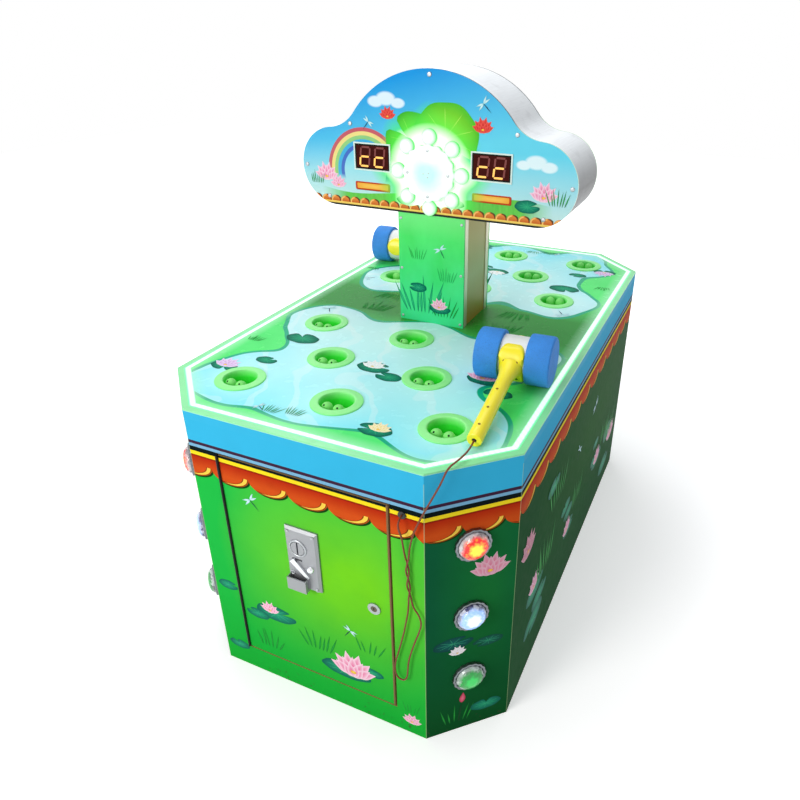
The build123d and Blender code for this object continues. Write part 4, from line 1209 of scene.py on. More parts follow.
class Artwork:
    """Flat printed shapes on one side, each a hair further out than the ones that it covers."""

    lift = 0.12 * MM
    step = 0.008 * MM

    def __init__(self, side: Side) -> None:
        """Starts an empty drawing on a side."""
        self.side, self.height = side, self.lift
        self.surface = Surface()

    def shape(self, middle: Point, outline: np.ndarray, inner: Colour, outer: Colour, turn: float = 0.0,
              layer: int = 0) -> Artwork:
        """Adds a filled shape whose colour runs from its middle to its outline.

        Args:
            middle: where it lies on the side.
            outline: closed outline round (0, 0), as (count, 2).
            inner, outer: colours at the middle and on the outline.
            turn: angle that it is turned by.
            layer: how many steps it lies over the drawing so far.
        Returns:
            This drawing.
        """
        share = np.linspace(1, 0, 5)
        spread = share[:, None, None] * (outline @ spun(turn))[None]
        height = self.height + layer * self.step
        grid = self.side.at(middle[0] + spread[..., 0], middle[1] + spread[..., 1], height)
        tint = np.array(inner) + (share ** 1.5)[:, None, None] * (np.array(outer) - np.array(inner))
        self.surface.add(grid, np.broadcast_to(tint, grid.shape))
        return self

    def rise(self, layers: int) -> Artwork:
        """Puts what is drawn next over the layers so far."""
        self.height += layers * self.step
        return self

    def petal(self, foot: Point, length: float, width: float, turn: float, inner: Colour, outer: Colour,
              layer: int = 0) -> Artwork:
        """Adds a pointed petal from its foot: half width is width * sin(pi t^0.8) * (1 - 0.3 t).

        Args:
            foot: where it starts.
            length, width: its size.
            turn: how far it leans from the side's up.
            inner, outer: colours at its middle and on its edge.
            layer: how many steps it lies over the drawing so far.
        Returns:
            This drawing.
        """
        t = np.linspace(0, 1, 14)
        half = width / 2 * np.sin(math.pi * t ** 0.8) * (1 - 0.3 * t)
        right, left = (np.stack([flank, t * length], -1) for flank in (half, -half))
        edge = np.concatenate([right, left[::-1][1:-1]])
        centre = np.array([0, length * 0.42])
        middle = np.array(foot) + centre @ spun(turn)
        return self.shape(tuple(middle), edge - centre, inner, outer, turn, layer)

    def lily_pad(self, middle: Point, size: float, turn: float, squash: float = 0.45,
                 dark: Colour = srgb(10, 100, 84), pale: Colour = srgb(30, 156, 116),
                 vein_paint: Colour = srgb(66, 186, 128)) -> Artwork:
        """Adds a floating leaf with a notch: radius is 1 less a narrow dip at angle 0, with a wavy rim.

        Args:
            middle: where it lies.
            size: its radius.
            turn: the angle of its notch.
            squash: its height over its width.
            dark, pale: colours of its rim and middle.
            vein_paint: colour on its veins' edges.
        Returns:
            This drawing.
        """
        angle = np.linspace(0, TAU, 56, endpoint=False)
        dip = np.exp(-(np.minimum(angle, TAU - angle) / 0.16) ** 2)
        radius = size * (1 - 0.72 * dip + 0.02 * np.sin(7 * angle))
        flat = np.array([1.0, squash])
        outline = np.stack([np.cos(angle + turn), np.sin(angle + turn)], -1) * radius[:, None] * flat
        self.shape(middle, outline, pale, dark)
        for vein in np.linspace(0.5, TAU - 0.5, 9):
            along = np.array([math.cos(vein + turn), math.sin(vein + turn)]) * flat
            length, lean = float(np.hypot(*along)) * size * 0.86, math.atan2(-along[0], along[1])
            self.petal(middle, length, size * 0.035, lean, pale, vein_paint, 1)
        return self.rise(2)

    def water_lily(self, middle: Point, size: float, warm: Colour = srgb(236, 110, 164),
                   pale: Colour = srgb(255, 220, 236)) -> Artwork:
        """Adds a flower of three fans of petals, the rear ones longest and palest.

        Args:
            middle: the foot of its first petals.
            size: length of the longest one.
            warm, pale: colours at the petals' middles and on their edges.
        Returns:
            This drawing.
        """
        for row, (count, reach, spread, width) in enumerate(LILY_ROWS):
            for number, place in enumerate(np.linspace(-spread, spread, count)):
                length = size * reach * (1 - 0.16 * abs(place))
                foot = (middle[0] - math.sin(place) * size * 0.06, middle[1] - row * size * 0.07)
                self.petal(foot, length, size * width, float(place), warm, pale, row * 3 + number % 3)
        seed = rounded((size * 0.1, size * 0.06), size * 0.05)
        self.shape((middle[0], middle[1] + size * 0.08), seed, srgb(255, 226, 90), srgb(240, 170, 40), 0.0, 9)
        return self.rise(10)

    def reeds(self, middle: Point, height: float, blades: int, seed: int, dark: Colour = srgb(16, 112, 44),
              pale: Colour = srgb(40, 172, 62)) -> Artwork:
        """Adds a tuft of narrow blades that lean apart, seeded so that each run draws the same.

        Args:
            middle: the middle of the tuft's foot.
            height: length of the longest blade.
            blades: how many there are.
            seed: what the random draws start from.
            dark, pale: colours on the blades' edges and at their middles.
        Returns:
            This drawing.
        """
        chance = np.random.default_rng(seed)
        for number, place in enumerate(np.linspace(-1, 1, blades)):
            lean = -place * 0.35 + chance.normal(0, 0.08)
            length = height * (0.6 + 0.4 * chance.random())
            foot = (middle[0] + place * height * 0.38, middle[1])
            self.petal(foot, length, height * 0.07, lean, pale, dark, number % 2)
        return self.rise(2)

    def dragonfly(self, middle: Point, size: float, turn: float) -> Artwork:
        """Adds a dragonfly: four glassy wings and a thin dark body.

        Args:
            middle: where the wings meet.
            size: length over which it is drawn.
            turn: the angle that it heads in.
        Returns:
            This drawing.
        """
        for number, wing in enumerate((1.15, 1.75, -1.15, -1.75)):
            self.petal(middle, size * 0.5, size * 0.14, turn + wing, srgb(220, 246, 250), srgb(160, 214, 220),
                       number % 2)
        self.petal(middle, size * 0.75, size * 0.06, turn + math.pi, srgb(30, 60, 90), srgb(16, 34, 54), 2)
        return self.rise(3)

    def build(self, name: str, body: str, finish: Finish = Print("printed_ink")) -> None:
        """Makes the drawing one piece that rides on a body."""
        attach(self.surface.build(name, finish), body)


# The machine's parts

WALL_UP = (0, 0, 1)
FRONT = Side((0, -HALF_LENGTH, 0), (1, 0, 0), WALL_UP)
REAR = Side((0, HALF_LENGTH, 0), (-1, 0, 0), WALL_UP)
RIGHT = Side((HALF_WIDTH, 0, 0), (0, 1, 0), WALL_UP)
LEFT = Side((-HALF_WIDTH, 0, 0), (0, -1, 0), WALL_UP)
DECK = Side((0, 0, DECK_TOP), (1, 0, 0), (0, 1, 0))

CHROME = Metal("bright_chrome", srgb(226, 228, 232), 0.1, Grain.CAST, 1.0, 0.08, 0.000004)
ZINC = Metal("zinc_plate", srgb(176, 180, 184), 0.32, Grain.Z, 1.0, 0.16)
STAINLESS = Metal("satin_steel", srgb(190, 190, 188), 0.34, Grain.Y, 1.0, 0.14)
BLACK = Moulded("black_moulding", srgb(22, 22, 24), 0.42)


def corner_sides() -> list[Side]:
    """The four slanting corners, each from its middle on the floor.

    Returns:
        The sides, going round from the front right one.
    """
    front, side = (FRONT_HALF, HALF_LENGTH), (HALF_WIDTH, SIDE_HALF)
    sides = []
    for flip, ends in (((1, -1), (front, side)), ((1, 1), (side, front)), ((-1, 1), (front, side)),
                       ((-1, -1), (side, front))):
        start, stop = np.array(ends) * flip
        along = (stop - start) / np.hypot(*(stop - start))
        sides.append(Side((*((start + stop) / 2), 0.0), (*along, 0.0), WALL_UP))
    return sides


@dataclass
class Part:
    """A sub-assembly of the machine: it dresses CAD nodes and builds pieces that ride on bodies."""

    nodes: dict[str, bpy.types.Object]

    def dress(self, finish: Finish, *names: str) -> None:
        """Gives a finish to CAD nodes by name."""
        finish.dress(*(self.nodes[name] for name in names))
        LOG.info("dressed %s with %s", ", ".join(names), finish.name)

    def stand(self, piece: bpy.types.Object, body: str, slot: str = "", *replaced: str) -> None:
        """Makes a piece ride on a body and stand for CAD nodes.

        Args:
            piece: the finished object.
            body: the CAD body that it rides on.
            slot: the record's material slot, or nothing; not used.
            replaced: CAD nodes that it stands for.
        """
        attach(piece, body)
        if replaced:
            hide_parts(*replaced)
        LOG.info("built %s on %s", piece.name, body)


@dataclass
class Cabinet(Part):
    """The octagonal cabinet: printed walls, deck edge and base board."""

    foot: Colour = srgb(14, 84, 38)
    reach: float = 0.445
    clumps: tuple[float, ...] = (-0.33, -0.08, 0.2, 0.37)

    def build(self) -> None:
        """Dresses the boards and draws the pond scenery on the walls."""
        # Painted shade: the long walls take the print in darker greens than the front, for the shade that
        # falls on them.
        shaded_long_wall = Skin("skin_side_painted_shade", SIDE_HALF, 0.0765, 0.01, 0.0, srgb(30, 90, 32), srgb(14, 76, 34),
                         self.foot)
        # The corners' darker greens are partly their print and partly painted shade.
        corner = Skin("skin_corner_part_shaded", CORNER_HALF, 0.070, -0.0173, 0.15694, srgb(26, 116, 54),
                      srgb(18, 96, 60), self.foot)
        self.dress(Skin("skin_front"), "front_frame", "rear_panel", "service_door")
        self.dress(shaded_long_wall, "left_side_panel", "right_side_panel")
        self.dress(corner, "corner_panels")
        self.dress(Timber("deck_underside"), "base_board")
        self.dress(DeckEdge("deck_edge"), "deck_board")
        self.front_print()
        self.rear_print()
        self.side_print()
        self.corner_print()

    def front_print(self) -> None:
        """Door and front frame: pads and lilies low down, each kept to one board."""
        door = Artwork(FRONT)
        door.lily_pad((-0.085, 0.175), 0.044, 0.5, 0.42).lily_pad((-0.128, 0.158), 0.026, 2.6, 0.45)
        door.water_lily((-0.098, 0.176), 0.026)
        door.lily_pad((0.06, 0.098), 0.052, 1.2, 0.36).lily_pad((0.112, 0.118), 0.026, 3.2, 0.4)
        door.water_lily((0.075, 0.096), 0.058)
        door.reeds((0.005, 0.125), 0.06, 7, 3).reeds((0.112, 0.165), 0.045, 5, 4)
        door.reeds((-0.108, 0.078), 0.05, 6, 9)
        door.dragonfly((-0.105, 0.43), 0.035, 0.7).dragonfly((0.075, 0.205), 0.03, -0.6)
        door.build("door_print", "door")
        frame = Artwork(FRONT)
        frame.lily_pad((-0.190, 0.205), 0.022, 0.3, 0.5).reeds((0.191, 0.055), 0.027, 5, 5)
        frame.water_lily((0.192, 0.028), 0.024).lily_pad((-0.188, 0.05), 0.024, 2.0, 0.45)
        frame.build("front_frame_print", "cabinet")

    def rear_print(self) -> None:
        """Rear wall: a wide clump of pads under tall reeds."""
        art = Artwork(REAR)
        for x, z, size, turn in (
            (-0.05, 0.232, 0.055, 0.4), (-0.03, 0.09, 0.045, 2.2), (0.09, 0.14, 0.055, 1.1),
            (0.165, 0.10, 0.03, 4.0), (0.06, 0.205, 0.035, 5.0),
        ):
            art.lily_pad((x, z), size, turn, 0.4)
        art.water_lily((-0.052, 0.236), 0.05).water_lily((0.1, 0.142), 0.04).water_lily((0.065, 0.205), 0.028)
        art.reeds((-0.115, 0.24), 0.1, 9, 11).reeds((0.13, 0.17), 0.09, 8, 12)
        art.reeds((-0.05, 0.05), 0.05, 6, 13)
        art.dragonfly((0.02, 0.37), 0.05, 0.4).dragonfly((-0.12, 0.38), 0.04, -0.8)
        art.build("rear_print", "cabinet")

    def side_print(self) -> None:
        """Long walls: four clumps of pads, lilies and reeds, and a few more shapes above them."""
        for side, name, seed in ((RIGHT, "right_print", 21), (LEFT, "left_print", 31)):
            chance = np.random.default_rng(seed)
            art = Artwork(side)
            for middle in self.clumps:
                for _ in range(3):
                    size = chance.uniform(0.028, 0.06)
                    x, z = middle + chance.uniform(-0.05, 0.05), chance.uniform(0.07, 0.24)
                    art.lily_pad((min(x, self.reach - size), z), size, chance.uniform(0, 6), 0.42)
                art.water_lily((middle, chance.uniform(0.1, 0.2)), chance.uniform(0.035, 0.06))
                foot, height = chance.uniform(0.08, 0.2), chance.uniform(0.07, 0.12)
                art.reeds((min(middle + 0.07, self.reach - 0.005 - height), foot), height, 8, seed + 1)
            art.water_lily((-0.39, 0.335), 0.05, srgb(200, 96, 130), srgb(226, 176, 190))
            art.lily_pad((-0.24, 0.375), 0.04, 1.0, 0.42).reeds((-0.2, 0.31), 0.1, 7, seed + 2)
            art.dragonfly((0.1, 0.37), 0.05, 0.5).dragonfly((-0.03, 0.33), 0.04, -0.6)
            art.build(name, "cabinet")

    def corner_print(self) -> None:
        """Corner walls: a lily between the upper lamps, pads between the lower ones, a bud at the foot."""
        for number, side in enumerate(corner_sides()):
            art = Artwork(side)
            art.water_lily((0.032, 0.362), 0.044, srgb(226, 120, 150), srgb(236, 190, 206))
            art.lily_pad((-0.03, 0.222), 0.036, 0.6, 0.4, srgb(10, 70, 66), srgb(18, 96, 90))
            art.lily_pad((0.034, 0.207), 0.028, 3.6, 0.4, srgb(12, 76, 62), srgb(24, 104, 84))
            art.water_lily((-0.022, 0.196), 0.02, srgb(236, 214, 226), srgb(255, 255, 255))
            art.reeds((-0.022, 0.02), 0.052, 6, 40 + number).lily_pad((0.035, 0.045), 0.03, 1.5, 0.45)
            art.petal((-0.018, 0.02), 0.055, 0.004, -0.12, srgb(20, 80, 40), srgb(10, 60, 30))
            art.petal((-0.012, 0.068), 0.026, 0.013, -0.1, srgb(240, 120, 140), srgb(200, 50, 90), 1)
            art.build(f"corner_print_{number + 1}", "cabinet")


@dataclass
class Playfield(Part):
    """The deck's top: pond print, lit strip, trim, hole cups and the sixteen targets, in millimetres."""

    rim: float = 45
    throat: float = 29.5
    depth: float = 43
    wall: float = 3.5
    head: float = 26.3
    eye: float = 9.8
    eye_place: Place = (11, 13, 44.3)
    foot_z: float = 0.530
    target_skin: tuple[Colour, ...] = (
        srgb(84, 212, 74), srgb(136, 230, 124), srgb(20, 60, 30), srgb(190, 192, 196))

    def build(self) -> None:
        """Dresses the sheet, strip and trim, and builds cups and targets."""
        self.dress(PondSheet("pond_sheet"), "playfield_sheet")
        self.dress(Diffuser("strip_diffuser"), "light_strip")
        self.dress(Moulded("mint_trim", srgb(140, 236, 164), 0.3), "edge_trim")
        places = {}
        for name in sorted(name for name in self.nodes if name.startswith("mole_")):
            low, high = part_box(name)
            places[name] = ((low.x + high.x) / 2, (low.y + high.y) / 2, low.z)
        self.cups(list(places.values()))
        for name, place in places.items():
            self.target(name, *place)
        self.pond_print()

    def cups(self, places: list[Place]) -> None:
        """Sixteen cups, each a turned rim on the sheet and a throat down through the deck.

        Args:
            places: the targets' middles, with their rods' feet.
        """
        wall = self.throat + self.wall
        profile = [(wall, -self.depth), (wall, 0.1), (self.rim, 0.1), (self.rim, 1.4), (44.2, 2.4), (42, 2.9),
                   (36, 3.1), (34.4, 3.5), (32, 3.5), (30.6, 2.8), (29.8, 1.0), (self.throat, -2),
                   (self.throat, -self.depth), (wall, -self.depth)]
        surface = Surface()
        for x, y, _ in places:
            surface.add(turned(DECK.moved(x, y), profile, 48))
        self.stand(surface.build("target_cups", Cups("cup_green")), "cabinet", "cup", "hole_cups")

    def target(self, name: str, x: float, y: float, rod_z: float) -> None:
        """One target: a domed head with two eye domes toward its player, on a square rod.

        Args:
            name: the CAD node that it stands for.
            x, y: its middle.
            rod_z: height of the rod's foot.
        """
        skin, pale, dark, steel = self.target_skin
        toward = -1.0 if "front" in name else 1.0
        foot = DECK.moved(x, y, self.foot_z - DECK_TOP)
        profile = [(0, 0), (24, 0), (self.head, 2.2), (self.head, 19), (25, 24), (21.5, 29), (15, 33.4),
                   (7, 35.6), (0, 36.2)]
        surface = Surface().add(turned(foot, profile, 32), skin)
        lift = np.linspace(0, TAU / 4, 8)
        dome = [(self.eye, -14), *zip(self.eye * np.cos(lift), self.eye * np.sin(lift))]
        spread, forward, height = (length * MM for length in self.eye_place)
        for side in (-1, 1):
            eye = foot.moved(side * spread, toward * forward, height)
            surface.add(turned(eye, dome, 20), pale)
            gaze = np.array((0.18 * side, toward * 0.62, 0.76))
            gaze /= np.linalg.norm(gaze)
            right = np.cross((0, 0, 1), gaze)
            right /= np.linalg.norm(right)
            middle = np.array(eye.origin) + gaze * (self.eye - 0.25) * MM
            pupil = Side(tuple(middle), tuple(right), tuple(np.cross(gaze, right)))
            surface.add(turned(pupil, [(1.9, -0.4), (1.7, 0.3), (0, 0.6)], 14), dark)
        length = (self.foot_z + 0.001 - rod_z) / MM
        rod = DECK.moved(x, y, rod_z - DECK_TOP)
        surface.add(turned(rod, [(0, 0), (6, 0), (6, length), (0, length)], 4), steel)
        self.stand(surface.build(f"target_{name[5:]}", Print("target_skin")), name, "mole", name)

    def pond_print(self) -> None:
        """Lilies and pads on the water between the holes, reeds and dragonflies on the turf."""
        for toward, name in ((-1, "front_pond_print"), (1, "rear_pond_print")):
            art = Artwork(Side(DECK.origin, (-toward, 0, 0), (0, -toward, 0)))
            art.lily_pad((-0.008, -0.302), 0.033, 0.4, 0.62).lily_pad((0.035, -0.325), 0.026, 2.8, 0.6)
            art.water_lily((-0.012, -0.302), 0.03, srgb(226, 236, 240), srgb(255, 255, 255))
            art.lily_pad((0.196, -0.262), 0.034, 1.1, 0.6).lily_pad((0.235, -0.302), 0.026, 4.1, 0.6)
            art.water_lily((0.19, -0.262), 0.042)
            art.lily_pad((-0.262, -0.41), 0.028, 5.0, 0.6).lily_pad((-0.205, -0.36), 0.022, 0.9, 0.6)
            art.water_lily((-0.262, -0.41), 0.034, srgb(206, 150, 214), srgb(240, 224, 250))
            art.lily_pad((-0.2, -0.25), 0.036, 2.0, 0.6).lily_pad((0.1, -0.49), 0.03, 3.3, 0.6)
            art.water_lily((0.105, -0.49), 0.026, srgb(240, 214, 120), srgb(255, 246, 214))
            for place in ((-0.045, -0.508), (-0.085, -0.516), (-0.285, -0.3), (0.288, -0.2)):
                art.reeds(place, 0.028, 7, int(abs(place[0]) * 1000))
            art.reeds((0.15, -0.05), 0.05, 9, 71).reeds((-0.15, -0.06), 0.06, 9, 72)
            art.dragonfly((-0.11, -0.505), 0.026, 1.0).dragonfly((0.262, -0.118), 0.03, -0.8)
            art.dragonfly((-0.24, -0.09), 0.035, 0.6)
            art.build(name, "cabinet")


@dataclass
class Lamps(Part):
    """Corner lamps: plated segmented bezels round faceted covers, with profiles in millimetres."""

    turns: int = 96
    flutes: int = 16
    rim: tuple[Point, ...] = (
        (30.555, 0.05), (30.555, 3.0), (30.2, 5.4), (28.4, 6.3), (26.6, 6.0), (25.6, 4.4), (25.4, 1))
    dome: tuple[Point, ...] = (
        (25.6, 1), (25.6, 6.2), (24.2, 10.0), (20.5, 13.6), (14.5, 16.4), (7.5, 17.7), (0, 18.0))
    stem: tuple[Point, ...] = ((0, -37), (10.8, -37), (10.8, -15.2), (17, -15.2))
    nut: tuple[Point, ...] = ((0, -22), (17, -22), (17, -15.1))

    def build(self) -> None:
        """Builds all bezels as one piece, all covers as another and all holders as a third."""
        bezels, covers, holders = Surface(), Surface(), Surface()
        lobe = 1 + 0.016 * np.sign(np.sin(np.arange(self.turns) * TAU / self.turns * self.flutes + 0.1))
        for side in corner_sides():
            for height in LAMP_HEIGHTS:
                place = side.moved(0, height)
                bezels.add(turned(place, self.rim, self.turns, lobe))
                covers.add(turned(place, self.dome, self.flutes, twist=0.5))
                holders.add(turned(place, self.stem, 20)).add(turned(place, self.nut, 6))
        plated = Metal("plated_rim", srgb(132, 136, 142), 0.2, Grain.CAST, 1.0, 0.5, 0.00006)
        self.stand(bezels.build("lamp_rims", plated), "cabinet", "lamp_rim", "lamp_bodies")
        glass = covers.build("lamp_covers", LampGlass("lamp_glass"), None)
        self.stand(glass, "cabinet", "lamp_lens", "lamp_lenses")
        self.stand(holders.build("lamp_holders", BLACK), "cabinet")


@dataclass
class Header(Part):
    """Post and cloud-shaped header: acrylic prints, metal band, displays and the burst lamps."""

    panel_screws: tuple[Point, ...] = ((0, 1.062), (0.1706, 0.9695), (-0.1706, 0.9695), (0.277, 0.885),
                                       (-0.277, 0.885), (0.228, 0.826), (-0.228, 0.826))
    post_screws: tuple[Point, ...] = tuple((x, z) for x in (-0.066, 0.066) for z in (0.7965, 0.693, 0.5875))
    plaques: tuple[Point, ...] = ((-0.126, 0.853), (0.126, 0.853))
    pods: int = 8

    def build(self) -> None:
        """Dresses the CAD sheets and builds both faces' fittings."""
        self.dress(Sky("header_sky"), "header_panels")
        self.dress(Meadow("post_meadow"), "post_panels")
        self.dress(PostSide("olive_gold"), "post_sides")
        self.dress(Metal("post_angle", srgb(206, 200, 180), 0.32, Grain.Z, 1.0, 0.12), "post_frame")
        self.dress(Band("header_band_metal"), "header_band")
        self.dress(ZINC, "header_spacers")
        self.dress(DisplayCase("display_case"), "score_displays")
        screws, digits, unlit = Surface(), Surface(), Surface()
        for toward, name in ((-1, "front"), (1, "rear")):
            face, post = (Side((0, toward * reach, 0), (-toward, 0, 0), WALL_UP)
                          for reach in (HEADER_FACE, POST_FACE))
            for x, z in self.panel_screws:
                screws.add(hexed(face.moved(x, z, 0.1 * MM), 4.2, 2.4))
            for x, z in self.post_screws:
                screws.add(hexed(post.moved(x, z, 0.1 * MM), 3.0, 1.6))
            for x in (-DISPLAY_X, DISPLAY_X):
                self.number(digits, unlit, face.moved(x, DISPLAY_Z, 1.12 * MM))
            self.burst(face.moved(0.0, BURST_Z), name)
            self.face_print(face, name)
            self.post_print(post, name)
        self.stand(screws.build("header_screws", ZINC), "cabinet")
        glow = Lit("digit_light", srgb(200, 110, 40), srgb(255, 210, 104))
        self.stand(digits.build("score_digits", glow), "cabinet")
        self.stand(unlit.build("score_segments", Moulded("segment_red", srgb(112, 24, 14), 0.4)), "cabinet")

    @staticmethod
    def number(lit: Surface, unlit: Surface, place: Side) -> None:
        """Adds two seven-segment digits, sheared by height * 0.1, lit in their lower left half.

        Args:
            lit: the surface that takes the lit bars.
            unlit: the surface that takes the dark bars.
            place: middle of the display's window.
        """
        bar, width, height, pitch = 3.6 * MM, 20 * MM, 35.6 * MM, 32 * MM
        upright, flat = (bar / 2, height / 4 - 1.2 * MM), (width / 2 - 1.4 * MM, bar / 2)
        bars = [(u, v, upright) for u in (-width / 2, width / 2) for v in (height / 4, -height / 4)]
        bars += [(0, v, flat) for v in (height / 2, -height / 2, 0)]
        for shift in (-pitch / 2, pitch / 2):
            for u, v, half in bars:
                outline = rounded(half, bar * 0.42, 3) @ np.array([[1, 0], [0.1, 1]])
                surface = lit if v <= 0 and u <= 0 else unlit
                surface.add(slab(place.moved(shift + u + v * 0.1, v), outline, 0, 0.12))

    def burst(self, place: Side, name: str) -> None:
        """Builds one burst lamp: a bright dome in a ring of rounded pods on a frosted plate.

        Args:
            place: the lamp's middle on the panel.
            name: front or rear.
        """
        halo, core, pods, screws = Surface(), Surface(), Surface(), Surface()
        wave = 1 + 0.03 * np.cos(np.arange(96) * TAU / 96 * 16)
        halo.add(turned(place, [(52, 0.1), (52, 9), (49, 11.6), (42, 12), (38, 11)], 96, wave))
        core.add(turned(place, [(38.5, 9), (37.5, 12.2), (31, 15), (21, 17), (9, 18), (0, 18.2)], 64))
        pod = [(15, 0.1), (15, 5), (13, 8), (9, 10), (4, 11), (0, 11.2)]
        for turn in np.arange(self.pods) * TAU / self.pods:
            pods.add(turned(place.around(66, turn), pod, 24))
        for turn in np.arange(4) * TAU / 4:
            screws.add(hexed(place.around(42.5, turn, 11.8), 2.8, 1.6))
        for turn in (0.5, 2.9, 5.3):
            screws.add(hexed(place.around(6, turn, 18.0), 1.5, 0.9))
        glass = BurstGlass("burst_glass")
        replaced = ("burst_lamps",) if name == "front" else ()
        self.stand(halo.build(f"{name}_burst_plate", glass), "cabinet", "burst_lens", *replaced)
        self.stand(core.build(f"{name}_burst_core", glass), "cabinet")
        self.stand(pods.build(f"{name}_burst_pods", glass), "cabinet")
        self.stand(screws.build(f"{name}_burst_screws", ZINC), "cabinet")

    def face_print(self, face: Side, name: str) -> None:
        """Draws one face's bare plaques, leaves, lilies and reeds.

        Args:
            face: the panel's front.
            name: front or rear.
        """
        art = Artwork(face)
        plaque, field = rounded((39 * MM, 8 * MM), 3 * MM), rounded((35 * MM, 5.2 * MM), 2 * MM)
        for place in self.plaques:
            art.shape(place, plaque + np.array((0.6, -0.6)) * MM, srgb(60, 90, 30), srgb(60, 90, 30))
            art.shape(place, plaque, srgb(196, 62, 28), srgb(196, 62, 28), 0.0, 1)
            art.shape(place, field, srgb(252, 200, 90), srgb(246, 172, 60), 0.0, 2)
        art.rise(3)
        red = srgb(206, 30, 30), srgb(240, 92, 80)
        art.lily_pad((-0.034, 0.944), 0.060, 2.5, 0.9, srgb(60, 176, 40), srgb(120, 214, 44),
                     srgb(172, 232, 96))
        art.lily_pad((0.032, 0.956), 0.066, 5.4, 0.94, srgb(76, 190, 44), srgb(154, 228, 44),
                     srgb(202, 240, 110))
        art.water_lily((-0.088, 0.985), 0.022, *red).water_lily((0.105, 0.972), 0.026, *red)
        art.water_lily((-0.232, 0.862), 0.034).water_lily((0.226, 0.862), 0.034)
        art.water_lily((-0.205, 0.848), 0.024).lily_pad((0.196, 0.846), 0.024, 0.4, 0.5)
        art.reeds((0.252, 0.851), 0.035, 7, 91).reeds((-0.255, 0.849), 0.03, 7, 92)
        art.dragonfly((0.105, 1.018), 0.03, 0.8).dragonfly((-0.13, 0.975), 0.026, -0.7)
        art.lily_pad((-0.046, 0.834), 0.026, 1.0, 0.4).lily_pad((0.05, 0.836), 0.022, 4.0, 0.4)
        art.build(f"{name}_header_print", "cabinet", HeaderPrint("header_print_film"))

    @staticmethod
    def post_print(post: Side, name: str) -> None:
        """Draws one post sheet's clump of reeds, pads and a lily.

        Args:
            post: the sheet's front.
            name: front or rear.
        """
        art = Artwork(post)
        art.reeds((-0.022, 0.60), 0.085, 9, 93, srgb(20, 130, 90), srgb(50, 190, 130))
        art.reeds((0.03, 0.597), 0.05, 7, 94)
        art.lily_pad((0.02, 0.615), 0.024, 0.6, 0.45).water_lily((0.018, 0.616), 0.024)
        art.lily_pad((-0.03, 0.655), 0.02, 3.0, 0.5).dragonfly((0.02, 0.742), 0.03, 0.5)
        art.reeds((-0.03, 0.715), 0.03, 7, 95, srgb(20, 150, 60), srgb(60, 200, 90))
        art.reeds((0.035, 0.675), 0.034, 8, 96, srgb(20, 150, 70), srgb(60, 206, 110))
        art.build(f"{name}_post_print", "cabinet")


